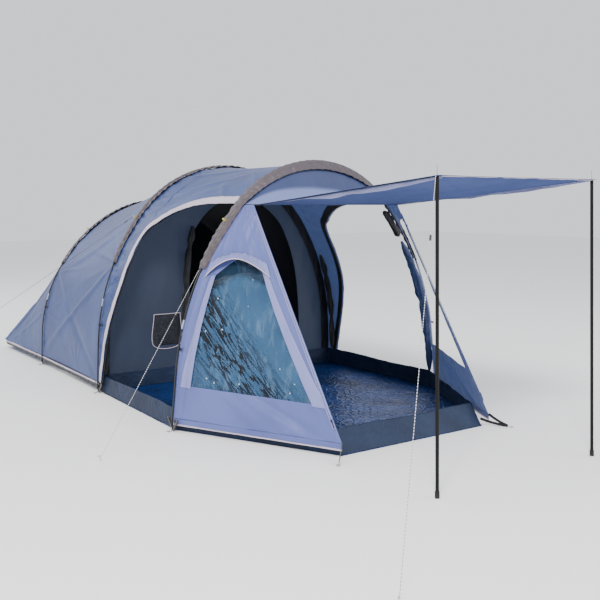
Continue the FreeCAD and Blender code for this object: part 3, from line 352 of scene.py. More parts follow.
def makeMaterials():
    taffeta = {"Roughness": 0.48, "Specular IOR Level": 0.34, "Sheen Weight": 0.08, "Sheen Roughness": 0.35}
    coated = {"Roughness": 0.55, "Specular IOR Level": 0.35, "Sheen Weight": 0.1}
    knit = {"Roughness": 0.8, "Specular IOR Level": 0.2, "Sheen Weight": 0.35}
    made = {
        # polyester taffeta with a polyurethane coat: a soft even gloss; on the brow a paler painted
        # highlight where slack cloth meets the sky
        "fly": clothFinish("polyesterTaffeta", "#2F4071", "#374A7D", taffeta),
        "brow": clothFinish("slackTaffeta", "#333D62", "#3A466E", taffeta, paintedLight="#6F7BAA"),
        # the same cloth on the canopy, its flaps and doubled borders: paler, with a trace of violet; the
        # paleness is painted light on the sunlit porch
        "flyPale": clothFinish("paintedSunlitTaffeta", "#56609A", "#5F69A4", taffeta),
        "flap": clothFinish("paleTaffetaFlap", "#8F93BF", "#9A9DC6", taffeta, paintedLight="#3E4F86"),
        "flyDoubled": clothFinish("polyesterTaffetaDoubled", "#7A7FB4", "#868ABC", taffeta),
        # the coated back of the same cloth: duller and darker, with a faint glow that is painted light
        # in the shaded inside
        "flyInside": clothFinish(
            "coatedTaffetaBack", "#445383", "#3B4A78",
            {**coated, "Emission Color": linear("#44557F"), "Emission Strength": 0.55},
        ),
        # painted shade: a darker copy of the cloth's back for the canopy's underside, with no glow and no
        # gloss
        "canopyShadedUnderside": clothFinish(
            "coatedTaffetaShade", "#47537E", "#505D8A", {"Roughness": 0.9, "Specular IOR Level": 0.0},
        ),
        # warm grey polyester, crimped where it is gathered over the pole
        "sleeve": clothFinish(
            "gatheredPolyester", "#484147", "#554E54", taffeta, crinkleMm=22.0, crinkle=0.7,
        ),
        # woven binding tape: pale with a trace of pink
        "binding": clothFinish("wovenBinding", "#C9BDC8", "#B8AEBD", coated, crinkleMm=30.0, crinkle=0.4),
        # breathable polyester of the inner tent: matt, dark blue-grey, with a faint glow that is painted
        # light on its shaded walls
        "inner": clothFinish(
            "breathablePolyester", "#232938", "#1F2531",
            {**coated, "Emission Color": linear("#35415A"), "Emission Strength": 0.45}, crinkleMm=70.0,
        ),
        "innerDark": clothFinish("darkBreathablePolyester", "#11141C", "#161B27", knit, crinkleMm=70.0),
        "black": clothFinish("blackPolyester", "#0E0F13", "#17181E", coated, crinkleMm=25.0, crinkle=0.5),
        "navyRoll": clothFinish(
            "rolledTaffeta", "#33456F", "#28365A", taffeta, crinkleMm=25.0, crinkle=0.5,
        ),
        "net": meshFinish("knittedNet", "#20222A", 4.0, 0.55),
        # soft vinyl: a clear gloss over creases, with a blue cast
        "film": filmFinish(
            "softVinyl", "#3A668E", "#2C5479",
            {"Roughness": 0.14, "Coat Weight": 0.35, "Coat Roughness": 0.05, "IOR": 1.53}, 90.0, 0.10, 0.52,
            "#05080D",
        ),
        # woven polyethylene sheet: a wet gloss over sharp creases
        "tarpaulin": filmFinish(
            "polyethyleneSheet", "#1C3A74", "#13284F",
            {"Metallic": 0.35, "Roughness": 0.33, "Specular IOR Level": 0.12}, 55.0, 0.9,
        ),
        # the wall of the same sheet, darker and greyer: painted shade where it stands under the fly
        "tarpaulinShadedWall": filmFinish(
            "polyethyleneEdge", "#1E2C46", "#162137", {"Roughness": 0.6, "Specular IOR Level": 0.3}, 60.0,
            0.4,
        ),
        "webbing": clothFinish(
            "blackWebbing", "#0C0C0E", "#17171A", knit, threadMm=1.6, crinkle=0.1, stitch=False,
        ),
        "yellowWebbing": hardFinish(
            "yellowWebbing", "#D6BF2A", "#B89F1E", {"Roughness": 0.75, "Sheen Weight": 0.3}, 1.2, 0.6,
        ),
        # pultruded glass fibre: lengthways grain under a dull gloss
        "fibreglass": hardFinish(
            "pultrudedFibreglass", "#131313", "#1E1E1E", {"Roughness": 0.34}, 2.0, 0.1, (1, 1, 0.1),
        ),
        # zinc-plated steel: bright, slightly clouded
        "steel": hardFinish(
            "zincPlatedSteel", "#C9CDD3", "#AEB4BC", {"Metallic": 1.0, "Roughness": 0.28}, 1.0, 0.1,
        ),
        # powder-coated steel tube: fine orange peel, dark brown-black
        "coatedSteel": hardFinish(
            "powderCoatedSteel", "#090808", "#0F0D0C", {"Roughness": 0.5, "Specular IOR Level": 0.2}, 0.9,
            0.2,
        ),
        # moulded nylon: fine spark texture, dull
        "nylon": hardFinish("mouldedNylon", "#101013", "#1B1B1F", {"Roughness": 0.45}, 0.8, 0.35),
        "rubber": hardFinish("mouldedRubber", "#141312", "#221F1C", {"Roughness": 0.8}, 1.0, 0.4),
        "darkCord": cordFinish("darkBraid", "#1D1E22", "#3A3B40"),
        "redCord": cordFinish("redBraid", "#5B1A1C", "#7A2A2A"),
        "paleCord": cordFinish("reflectiveBraid", "#55565A", "#D5D6D8"),
    }
    return made


# ---- arches, as the poles lie

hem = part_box("fly_hem")[1].z
arches = {
    "front": {
        "node": "front_arch_pole", "foot": 1.235, "height": 1.880, "leg": 0.404, "lean": 4.9,
        "shoulder": 44.5, "sleeveEnd": 1.100, "tab": 1.430,
    },
    "middle": {
        "node": "middle_arch_pole", "foot": 1.215, "height": 1.893, "leg": 0.400, "lean": 1.0,
        "shoulder": 37.0, "sleeveEnd": 1.070, "tab": 1.435,
    },
    "rear": {
        "node": "rear_arch_pole", "foot": 1.207, "height": 1.588, "leg": 0.277, "lean": 0.5,
        "shoulder": 62.0, "sleeveEnd": 0.985, "tab": 1.295,
    },
}
flyOffset = -0.0095


def solveArch(arch):
    lean, shoulder = math.radians(arch["lean"]), math.radians(arch["shoulder"])
    across = arch["foot"] - arch["leg"] * math.sin(lean)
    up = arch["height"] - arch["leg"] * math.cos(lean)
    a, b = math.cos(lean) - math.cos(shoulder), math.cos(shoulder)
    c, d = math.sin(shoulder) - math.sin(lean), 1 - math.sin(shoulder)
    arch["y"] = middleOf(arch["node"]).y
    arch["turns"] = (lean, shoulder)
    arch["radii"] = ((across * d - up * b) / (a * d - b * c), (a * up - c * across) / (a * d - b * c))
    arch["bend"] = arch["radii"][0] * (shoulder - lean)
    arch["half"] = arch["leg"] + arch["bend"] + arch["radii"][1] * (math.pi / 2 - shoulder)


def halfCurve(arch, run):
    # distance from the middle, height and slope at a run up from the foot
    lean, shoulder = arch["turns"]
    first, second = arch["radii"]
    along = np.minimum(run, arch["leg"])
    turn = lean + np.clip(run - arch["leg"], 0, arch["bend"]) / first
    last = shoulder + np.clip(run - arch["leg"] - arch["bend"], 0, None) / second
    x = arch["foot"] - along * math.sin(lean) - first * (math.cos(lean) - np.cos(turn))
    x = x - second * (math.cos(shoulder) - np.cos(last))
    z = along * math.cos(lean) + first * (np.sin(turn) - math.sin(lean))
    z = z + second * (np.sin(last) - math.sin(shoulder))
    return x, z, turn + last - shoulder


def runAt(arch, height, offset=flyOffset):
    run = np.linspace(0, arch["half"], 3000)
    _, z, turn = halfCurve(arch, run)
    return np.interp(height, z + offset * np.sin(turn), run)


def archPoint(arch, run, offset=flyOffset):
    # points at runs from the left foot over the crown, with the outward direction
    run = np.asarray(run, float)
    side = np.where(run <= arch["half"], -1.0, 1.0)
    x, z, turn = halfCurve(arch, np.where(side < 0, run, 2 * arch["half"] - run))
    out = np.stack([side * np.cos(turn), np.zeros_like(x), np.sin(turn)], -1)
    place = np.stack([side * x, np.full_like(x, arch["y"]), z], -1)
    return place + out * np.asarray(offset)[..., None], out


def overTop(arch, height, share, offset=flyOffset):
    # share 0 is at a height on the left, share 1 at the same height on the right
    start = runAt(arch, height, offset)
    return archPoint(arch, start + share * 2 * (arch["half"] - start), offset)[0]


def halfWidthAt(arch, height, offset=flyOffset):
    return -archPoint(arch, runAt(arch, height, offset), offset)[0][..., 0]


for archName in arches:
    solveArch(arches[archName])
front, middle, rear = arches["front"], arches["middle"], arches["rear"]

# ---- cloth

noiseCells = 97


def softNoise(a, b, scale, seed):
    # smooth values from -1 to 1 over a plane, the same at each run
    table = np.random.RandomState(seed).rand(noiseCells, noiseCells) * 2 - 1
    x, y = a / scale + 31.7, b / scale + 17.3
    i, j = np.floor(x).astype(int), np.floor(y).astype(int)
    f, g = x - i, y - j
    f, g = f * f * (3 - 2 * f), g * g * (3 - 2 * g)
    i, j, right, above = (n % noiseCells for n in (i, j, i + 1, j + 1))
    low = table[i, j] * (1 - f) + table[right, j] * f
    high = table[i, above] * (1 - f) + table[right, above] * f
    return low * (1 - g) + high * g


def pull(a, b, start, end, width, height):
    # a tension fold from one point to another, widest in the middle, in metres on the flat cloth
    line = np.array(end) - np.array(start)
    long = max(np.hypot(*line), 1e-6)
    along = ((a - start[0]) * line[0] + (b - start[1]) * line[1]) / long / long
    away = ((a - start[0]) * line[1] - (b - start[1]) * line[0]) / long
    taper = np.clip(np.sin(np.pi * np.clip(along, 0, 1)), 0, 1) ** 0.6
    spread = width * (0.5 + 0.9 * np.clip(along, 0, 1))
    return height * taper * np.exp(-((away / spread) ** 2))


def fan(a, b, centre, reach, turns, width, height):
    total = np.zeros_like(a)
    for number, turn in enumerate(turns):
        end = (centre[0] + reach * math.cos(turn), centre[1] + reach * math.sin(turn))
        total = total + pull(a, b, centre, end, width, height * (0.7 + 0.3 * math.sin(number * 2.3)))
    return total


def puckers(along, away, pitch, depth, height, seed):
    # short gathers that die away from a seam
    wave = softNoise(along, away * 0.25, pitch, seed) + 0.6 * softNoise(
        along, away * 0.3, pitch * 0.45, seed + 1,
    )
    return height * wave * np.exp(-np.abs(away) / depth)


def gridNormals(points):
    down = np.gradient(points, axis=0)
    across = np.gradient(points, axis=1)
    normal = np.cross(across, down)
    return normal / np.maximum(np.linalg.norm(normal, axis=-1, keepdims=True), 1e-12)


def runsOf(points, axis):
    step = np.linalg.norm(np.diff(points, axis=axis), axis=-1)
    total = np.cumsum(step, axis=axis)
    zero = np.zeros_like(np.take(total, [0], axis=axis))
    return np.concatenate([zero, total], axis=axis)


def lengthAlong(path):
    return np.concatenate([[0], np.cumsum(np.linalg.norm(np.diff(path, axis=0), axis=1))])


def pick(pieces):
    bpy.ops.object.select_all(action="DESELECT")
    for piece in pieces:
        piece.select_set(True)
    bpy.context.view_layer.objects.active = pieces[0]


def smoothShade(piece):
    piece.data.polygons.foreach_set("use_smooth", [True] * len(piece.data.polygons))
    piece.data.update()


def meshFrom(name, corners, faces, flat, edge, finishes):
    mesh = bpy.data.meshes.new(name)
    mesh.from_pydata(corners.tolist(), [], faces)
    layer = mesh.uv_layers.new(name="flat")
    loops = np.zeros(len(mesh.loops), int)
    mesh.loops.foreach_get("vertex_index", loops)
    layer.data.foreach_set("uv", flat[loops].astype(np.float32).ravel())
    mesh.attributes.new("edge", "FLOAT", "POINT").data.foreach_set("value", edge.astype(np.float32))
    piece = bpy.data.objects.new(name, mesh)
    bpy.context.scene.collection.objects.link(piece)
    for finish in finishes:
        mesh.materials.append(finish)
    smoothShade(piece)
    return piece


def thicken(piece, thickness):
    pick([piece])
    solidify = piece.modifiers.new("thickness", "SOLIDIFY")
    solidify.thickness = thickness
    solidify.offset = -1.0
    solidify.material_offset = 1 if len(piece.data.materials) > 1 else 0
    solidify.material_offset_rim = 0
    bpy.ops.object.modifier_apply(modifier="thickness")
    smoothShade(piece)


def clothSheet(name, points, lift, finishes, thickness=0.0012, hole=None, awayFrom=None, weld=False):
    # points is a grid; lift moves each one along the normal, which turns away from the point awayFrom
    normal = gridNormals(points)
    turned = awayFrom is not None and (normal * (points - np.array(awayFrom))).sum() < 0
    if turned:
        normal = -normal
    rows, columns = points.shape[:2]
    down, across = runsOf(points, 0), runsOf(points, 1)
    placed = points + normal * lift[..., None]
    edge = np.minimum(np.minimum(down, down[-1:] - down), np.minimum(across, across[:, -1:] - across))
    flat = np.stack([across, down], -1).reshape(-1, 2)
    index = np.arange(rows * columns).reshape(rows, columns)
    quads = np.stack([index[:-1, :-1], index[:-1, 1:], index[1:, 1:], index[1:, :-1]], -1)
    if not turned:
        quads = quads[..., ::-1]
    if hole is not None:
        quads = quads[~hole]
    piece = meshFrom(
        name, placed.reshape(-1, 3), quads.reshape(-1, 4).tolist(), flat, edge.ravel(), finishes,
    )
    if hole is not None or weld:
        dropLoose(piece)
    facesOut(piece, points, normal)
    thicken(piece, thickness)
    return piece


def paint(piece, name, values):
    # a value for each point of the grid, the same on the front and on the back of the cloth
    spots = np.resize(values.ravel().astype(np.float32), len(piece.data.vertices))
    piece.data.attributes.new(name, "FLOAT", "POINT").data.foreach_set("value", spots)


def dropLoose(piece):
    pick([piece])
    bpy.ops.object.mode_set(mode="EDIT")
    bpy.ops.mesh.select_all(action="SELECT")
    bpy.ops.mesh.remove_doubles(threshold=0.00001)
    bpy.ops.mesh.delete_loose()
    bpy.ops.object.mode_set(mode="OBJECT")


def facesOut(piece, points, normal):
    # turns the faces to the side that the cloth's outside is on
    face = piece.data.polygons[len(piece.data.polygons) // 2]
    near = np.abs(points.reshape(-1, 3) - np.array(face.center)).sum(-1).argmin()
    if np.dot(normal.reshape(-1, 3)[near], np.array(face.normal)) < 0:
        piece.data.flip_normals()


def finishSheet(piece, body, replaced=()):
    attach(piece, body, replaced)
    return piece


def lerp(first, second, share):
    return first + (second - first) * share


def smoothCurve(points, steps):
    # a rounded line through a few points
    points = np.array(points, float)
    padded = np.concatenate([points[:1] * 2 - points[1:2], points, points[-1:] * 2 - points[-2:-1]])
    out = []
    for k in range(len(points) - 1):
        a, b, c, d = padded[k:k + 4]
        for t in np.linspace(0, 1, steps, endpoint=False):
            out.append(
                0.5 * (
                    2 * b + (c - a) * t + (2 * a - 5 * b + 4 * c - d) * t * t
                    + (3 * b - a - 3 * c + d) * t ** 3
                )
            )
    out.append(points[-1])
    return np.array(out)


# ---- fly over the rear bay and the tail

rearBayLook = {"rows": 110, "columns": 340, "sag": 0.024, "gather": 0.005, "fold": 0.013}


def sideRun(arch, height):
    return float(runAt(arch, height) - runAt(arch, hem))


def makeRearBay(finishes):
    look = rearBayLook
    share, step = np.meshgrid(np.linspace(0, 1, look["columns"]), np.linspace(0, 1, look["rows"]))
    near, far = overTop(middle, hem, share[0]), overTop(rear, hem, share[0])
    points = lerp(near[None], far[None], step[..., None])
    depth = rear["y"] - middle["y"]
    long = 2 * (middle["half"] - runAt(middle, hem))
    away = step * depth
    up = np.minimum(share, 1 - share) * long
    cuff, shoulder, rearCuff = sideRun(middle, 1.07), sideRun(middle, 1.43), sideRun(rear, 0.985)
    lift = -look["sag"] * np.sin(np.pi * step) * (0.45 + 0.55 * np.sin(np.pi * share))
    lift += puckers(share * long, away, 0.05, 0.10, look["gather"], 3)
    lift += puckers(share * long, depth - away, 0.045, 0.09, look["gather"], 5)
    lift += pull(up, away, (cuff, 0.02), (0.03, depth), 0.03, look["fold"])
    lift += pull(up, away, (shoulder, 0.02), (rearCuff, depth), 0.045, look["fold"])
    lift += pull(up, away, (shoulder + 0.1, 0.02), (rearCuff + 0.35, depth), 0.04, 0.7 * look["fold"])
    lift += pull(up, away, (0.02, 0.05), (rearCuff, depth), 0.05, -0.6 * look["fold"])
    lift += fan(up, away, (cuff, 0.0), 0.75, (0.9, 1.35, 1.8, 2.2), 0.022, 0.6 * look["fold"])
    lift += fan(up, away, (rearCuff, depth), 0.8, (-0.7, -1.1, -1.5, -2.2), 0.022, 0.7 * look["fold"])
    lift += fan(up, away, (0.47, depth), 0.45, (-1.2, -1.7), 0.016, 0.4 * look["fold"])
    lift += fan(up, away, (0.0, 0.55), 0.30, (-0.3, 0.2, 0.7), 0.012, 0.35 * look["fold"])
    lift += 0.006 * softNoise(
        share * long, away, 0.55, 11,
    ) + 0.002 * softNoise(share * long, away, 0.12, 12)
    lift *= np.clip(np.minimum(away, depth - away) / 0.01, 0, 1)
    piece = clothSheet("rearBayFly", points, lift, finishes, awayFrom=(0, middleOf("rear_bay_roof").y, 0.3))
    finishSheet(
        piece, "root",
        ("rear_bay_left_wall", "rear_bay_roof", "rear_bay_right_wall"),
    )


tail = {"rows": 120, "columns": 300, "corner": 1.215, "round": 0.24, "sag": 0.035, "fold": 0.014}


def tailLine(share):
    # the rear edge of the fly: it runs forward at both corners
    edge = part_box("fly_rear_wall")[1].y
    ridge = 0.25
    ends = np.clip(np.minimum(share, 1 - share) / ridge, 0, 1)
    across = np.clip((share - ridge) / (1 - 2 * ridge), 0, 1) * 2 - 1
    soft = 1 - (1 - ends) ** 1.6
    return np.stack(
        [tail["corner"] * across, edge - tail["round"] * (1 - soft), np.full_like(share, hem)], -1,
    )


def makeTail(finishes):
    share, step = np.meshgrid(np.linspace(0, 1, tail["columns"]), np.linspace(0, 1, tail["rows"]))
    near, far = overTop(rear, hem, share[0]), tailLine(share[0])
    points = lerp(near[None], far[None], step[..., None])
    down = runsOf(points, 0)
    width = 2 * (rear["half"] - runAt(rear, hem))
    along = share * width
    up = np.minimum(along, width - along)
    lift = -tail["sag"] * np.sin(np.pi * step) * np.sin(np.pi * np.clip(share, 0.02, 0.98)) ** 0.5
    lift += puckers(along, down, 0.045, 0.09, 0.0035, 21)
    cuff = sideRun(rear, 0.985)
    for start, reach, size in (
        (cuff, 1.5, 1.0), (cuff + 0.45, 1.5, 0.8), (cuff + 0.9, 1.4, 0.7), (0.45, 0.9, 0.6),
    ):
        lift += pull(up, down, (start, 0.0), (start * 0.55 + 0.15, reach), 0.035, size * tail["fold"])
    lift += fan(up, down, (cuff, 0.0), 0.6, (1.2, 1.6, 2.0), 0.02, 0.5 * tail["fold"])
    lift += 0.007 * softNoise(along, down, 0.5, 24) + 0.0022 * softNoise(along, down, 0.11, 25)
    lift *= np.clip(down / 0.01, 0, 1) * np.clip(np.minimum(share, 1 - share) / 0.01, 0.2, 1)
    piece = clothSheet("tailFly", points, lift, finishes, awayFrom=(0, rear["y"], 0.0))
    finishSheet(piece, "root", ("fly_rear_wall",))


# ---- fly over the living bay, with a door in each side

doorway = {
    "top": 1.56,
    "corners": (
        (0.0, 0.062), (0.28, 0.150), (0.55, 0.262), (0.83, 0.282), (0.90, 0.395), (0.945, 0.535),
        (0.975, 0.680), (0.993, 0.850), (1.0, 1.040),
    ),
    "binding": 0.052, "bindingOff": 0.0055, "tapeUnder": 0.012,
}
bayLook = {"straight": 46, "bend": 16, "columns": 330, "sag": 0.018, "gather": 0.006, "fold": 0.012}


def doorPath():
    # distance behind the front arch and height, from the front arch back along the top and down
    depth = middle["y"] - front["y"]
    curve = [(depth - back, max(part * doorway["top"], hem)) for part, back in doorway["corners"]]
    bend = np.array(smoothCurve(curve[::-1], bayLook["bend"]))
    # rows never fold back
    bend[:, 0] = np.maximum.accumulate(bend[:, 0]) + np.linspace(0, 0.002, len(bend))
    top = np.linspace(0.0, bend[0][0], bayLook["straight"], endpoint=False)
    return np.concatenate([np.stack([top, np.full_like(top, doorway["top"])], -1), bend])


def makeFrontBay(finishes):
    look = bayLook
    path = doorPath()
    depth = middle["y"] - front["y"]
    last = np.linspace(path[-1][0], depth, 8)[1:]
    path = np.concatenate([path, np.stack([last, np.full_like(last, hem)], -1)])
    share = np.linspace(0, 1, look["columns"])
    grids = []
    for arch in (front, middle):
        start = runAt(arch, path[:, 1])[:, None]
        grids.append(archPoint(arch, start + share[None] * 2 * (arch["half"] - start))[0])
    back = (path[:, 0] / depth)[:, None]
    points = lerp(grids[0], grids[1], back[..., None])
    across = runsOf(points, 1)
    along = across - across[:, -1:] / 2
    away = back * depth + 0 * along
    edge = np.minimum(across, across[:, -1:] - across)
    lift = -look["sag"] * np.sin(np.pi * back) * np.clip(edge / 0.35, 0, 1)
    lift = lift + puckers(along, away, 0.045, 0.09, look["gather"], 31) + puckers(
        along, depth - away, 0.05, 0.14, 1.5 * look["gather"], 33,
    )
    side = np.abs(along)
    for start, end, size in (
        ((1.25, depth), (0.75, 0.5), 1.0), ((1.05, depth), (0.55, 0.4), 0.8),
        ((0.85, depth), (0.35, 0.3), 0.7), ((0.5, depth), (0.15, 0.4), 0.6), ((1.0, 0.0), (0.5, 0.6), 0.8),
        ((0.6, 0.0), (0.2, 0.6), 0.6),
    ):
        lift = lift + pull(side, away, start, end, 0.03, size * look["fold"])
    lift = lift + 0.005 * softNoise(along, away, 0.45, 35) + 0.002 * softNoise(along, away, 0.10, 36)
    lift = lift * np.clip((edge - 0.045) / 0.12, 0.0, 1) * np.clip(
        np.minimum(away, depth - away) / 0.012, 0, 1,
    )
    piece = clothSheet(
        "livingBayFly", points, lift, finishes, awayFrom=(0, middleOf("front_bay_roof").y, 0.4),
    )
    finishSheet(
        piece, "root",
        ("front_bay_roof", "left_door_strip", "right_door_strip"),
    )


def onSkin(side, away, height, offset=flyOffset):
    depth = middle["y"] - front["y"]
    near, far = halfWidthAt(front, height, offset), halfWidthAt(middle, height, offset)
    return np.stack([side * lerp(near, far, away / depth), front["y"] + away, height], -1)


def joined(pieces, name):
    pick(pieces)
    bpy.ops.object.join()
    pieces[0].name = name
    pieces[0].data.name = name
    return pieces[0]


def makeBindings(finishes, zipTape):
    path = doorPath()[1:]
    step = np.gradient(path, axis=0)
    step /= np.linalg.norm(step, axis=1, keepdims=True)
    inward = np.stack([-step[:, 1], step[:, 0]], -1)
    shares = np.linspace(-0.06, 1, 9)
    along = lengthAlong(path)
    bands, size = [], None
    for side in (-1, 1):
        spots = [path + inward * doorway["binding"] * share for share in shares]
        over = flyOffset + doorway["bindingOff"]
        points = np.stack(
            [onSkin(side, spot[:, 0], np.maximum(spot[:, 1], hem - 0.012), over) for spot in spots]
        )
        wave = 0.0035 * softNoise(
            along[None] + 0 * shares[:, None], shares[:, None] * 0.05 + 0 * along[None], 0.05, 41 + side,
        )
        curl = 0.004 * np.clip((0.15 - shares[:, None]) / 0.2, 0, 1)
        bands.append(
            clothSheet("band", points, wave + curl, finishes, 0.0016, awayFrom=(0, points[0, 0, 1], 0.6))
        )
        size = points
        under = flyOffset - doorway["tapeUnder"]
        inner = np.stack([onSkin(side, spot[:, 0], np.maximum(spot[:, 1], hem), under) for spot in spots])
        band = clothSheet(
            "nearZipTape" if side < 0 else "farZipTape", inner, 0.3 * wave, zipTape, 0.0014,
            awayFrom=(0, points[0, 0, 1], 0.6),
        )
        finishSheet(band, "root", ())
    piece = joined(bands, "doorBindings")
    attach(piece, "root", ("side_door_bindings",))


# ---- sleeves

sleeveLook = {
    "half": (0.034, 0.066), "channel": 0.0118, "shoulder": 0.020, "gather": 0.006, "pleat": 0.0032,
}


def besideFront(place):
    # where the cloth ahead of the front arch goes: to the sloping door edge, or to the hinge line
    up = np.clip((place[..., 2] - hem) / (porch["hingeHeight"] - hem), 0, 1)
    side = np.sign(place[..., 0])
    foot, top = porchEdge(1, 0), porchEdge(1, 1)
    edge = lerp(foot, top, up[..., None])
    share = place[..., 0] / np.maximum(halfWidthAt(front, porch["hingeHeight"]), 0.01)
    x = np.where(place[..., 2] > porch["hingeHeight"], np.clip(share, -1, 1) * top[0], side * edge[..., 0])
    z = np.where(place[..., 2] > porch["hingeHeight"], porch["hingeHeight"], place[..., 2])
    return np.stack([x, edge[..., 1], z], -1)


def makeSleeve(name, arch, ahead, behind, finishes, seed):
    look = sleeveLook
    start = float(runAt(arch, arch["sleeveEnd"], 0.0))
    run = np.linspace(start, 2 * arch["half"] - start, 520)
    along = run - start
    span = 2 * (arch["half"] - runAt(arch, hem))
    share = np.clip((run - runAt(arch, hem)) / span, 0, 1)
    half = lerp(look["half"][0], look["half"][1], np.sin(np.pi * along / along[-1]) ** 0.7)
    bands = np.linspace(-1, 1, 33)
    rows = []
    for band in bands:
        neighbour = ahead if band < 0 else behind
        height = flyOffset + 0.007
        near = abs(band) * look["half"][0]
        if near < look["channel"]:
            height = math.sqrt(look["channel"] ** 2 - 0.85 * near * near)
        elif near < look["shoulder"]:
            ease = (near - look["channel"]) / (look["shoulder"] - look["channel"])
            height = lerp(0.39 * look["channel"], height, ease * ease * (3 - 2 * ease))
        own = archPoint(arch, run, height)[0]
        other = neighbour(share, own)
        reach = np.linalg.norm(other - own, axis=1, keepdims=True)
        rows.append(
            own
            + (other - own) / reach * (
                near + np.clip(abs(band) - 0.4, 0, 1) / 0.6 * (half[:, None] - look["half"][0])
            )
        )
    points = np.stack(rows)
    a, b = along[None] + 0 * bands[:, None], bands[:, None] * half[None]
    wing = np.clip((np.abs(b) - 0.006) / 0.012, 0.15, 1)
    lift = look["gather"] * wing * (0.5 + 0.5 * softNoise(a, b, 0.035, seed)) + look["pleat"] * (
        1 + np.sin((a + 0.8 * b) / 0.0105 + 2.5 * softNoise(a, b, 0.08, seed + 1))
    ) * wing
    ends = np.clip(np.minimum(a, a.max() - a) / 0.02, 0, 1)
    piece = clothSheet(name, points, lift * ends, finishes, 0.001, awayFrom=(0, arch["y"], 0.3))
    finishSheet(
        piece, "root", (arch["node"].replace("arch_pole", "sleeve"),),
    )


def makeSleeves(finishes):
    makeSleeve(
        "rearSleeve", rear, lambda s, own: overTop(middle, hem, s), lambda s, own: tailLine(s), finishes, 51,
    )
    makeSleeve(
        "middleSleeve", middle, lambda s, own: overTop(front, hem, s), lambda s, own: overTop(rear, hem, s),
        finishes, 53,
    )
    makeSleeve(
        "frontSleeve", front, lambda s, own: besideFront(own), lambda s, own: overTop(middle, hem, s),
        finishes, 55,
    )


# ---- front panels

porch = {
    "hingeHeight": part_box("canopy_panel")[0].z,
    "hingeY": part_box("canopy_panel")[1].y,
    "sillY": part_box("left_front_panel")[0].y,
    "sillHalf": 0.645,
    "hingeHalf": 0.670,
    "window": {
        "left": (0.10, 0.20), "right": (0.905, 0.79), "bottom": (0.155, 0.14), "top": (0.665, 0.70),
        "arch": 0.062,
    },
    "door": {
        "left": (0.07, 0.10), "right": (0.90, 0.84), "bottom": (0.20, 0.185), "top": (0.86, 0.92),
        "arch": 0.02,
    },
}


porchMiddle = (0, front["y"] + 0.5, 0.5)


def porchEdge(side, up):
    foot = np.array([side * porch["sillHalf"], porch["sillY"], hem])
    top = np.array([side * porch["hingeHalf"], porch["hingeY"], porch["hingeHeight"]])
    return foot + (top - foot) * np.asarray(up, float)[..., None]


def porchPoint(side, across, up):
    height = hem + (porch["hingeHeight"] - hem) * up
    leg = np.stack([side * halfWidthAt(front, height), np.full_like(height, front["y"]), height], -1)
    return leg * (1 - across[..., None]) + porchEdge(side, up) * across[..., None]


def openingSides(opening, cw, rw):
    # left and right edges, sill and head of an opening, as shares of the panel
    left, right = lerp(*opening["left"], rw), lerp(*opening["right"], rw)
    head = lerp(*opening["top"], cw) + opening["arch"] * np.sin(np.pi * np.clip(cw, 0, 1))
    return left, right, lerp(*opening["bottom"], cw), head


def threeBands(counts):
    # steps from 0 to 3 that are finest where most detail is
    first, second, third = counts
    ends = [np.linspace(0, 1, first, endpoint=False), np.linspace(1, 2, second, endpoint=False)]
    return np.concatenate([*ends, np.linspace(2, 3, third)])


def openingGrid(opening, columns, rows):
    # a grid over a panel whose lines follow the edge of its opening
    c, r = np.meshgrid(threeBands(columns), threeBands(rows))
    left, right, low, high = openingSides(opening, np.clip(c - 1, 0, 1), np.clip(r - 1, 0, 1))
    across = np.where(c < 1, left * c, np.where(c < 2, lerp(left, right, c - 1), lerp(right, 1.0, c - 2)))
    up = np.where(r < 1, low * r, np.where(r < 2, lerp(low, high, r - 1), lerp(high, 1.0, r - 2)))
    within = (c >= 1) & (c < 2) & (r >= 1) & (r < 2)
    return across, up, within[:-1, :-1]


# tension folds of a front panel: from, to, width, height, as shares of the panel and in metres
panelPulls = (
    ((0.045, 0.0), (0.12, 0.75), 0.018, -0.012),
    ((0.02, 0.1), (0.06, 0.7), 0.012, 0.006),
    ((0.30, 0.15), (0.62, 0.0), 0.035, 0.017),
    ((0.42, 0.15), (0.80, 0.0), 0.03, 0.019),
    ((0.52, 0.15), (0.92, 0.0), 0.022, -0.013),
    ((0.95, 0.98), (0.35, 0.80), 0.03, 0.012),
    ((0.98, 0.95), (0.6, 0.78), 0.025, 0.006),
)


def panelFolds(across, up, seed):
    lift = sum(pull(across, up, *fold) for fold in panelPulls)
    lift = lift + 0.004 * softNoise(across, up, 0.14, seed) + 0.0022 * softNoise(
        across, up, 0.045, seed + 1,
    )
    rim = np.clip(np.minimum(np.minimum(across, 1 - across) / 0.02, np.minimum(up, 1 - up) / 0.01), 0, 1)
    return lift * rim


def makeFrontPanels(finishes, doubled):
    panels = (
        ("windowPanel", -1, "window", (16, 90, 20), (34, 110, 50), 61, "left_front_panel"),
        ("doorwayPanel", 1, "door", (12, 80, 14), (40, 110, 26), 64, "right_front_panel"),
    )
    for name, side, opening, columns, rows, seed, node in panels:
        across, up, inside = openingGrid(porch[opening], columns, rows)
        points = porchPoint(side, across, up)
        lift = panelFolds(across, up, seed)
        piece = clothSheet(name, points, lift, finishes, hole=inside, awayFrom=porchMiddle)
        finishSheet(piece, "root", (node,))
    makeWindowBorders(doubled)


def windowZone(cw, rw):
    left, right, low, high = openingSides(porch["window"], cw, rw)
    return lerp(left, right, cw), lerp(low, high, rw)


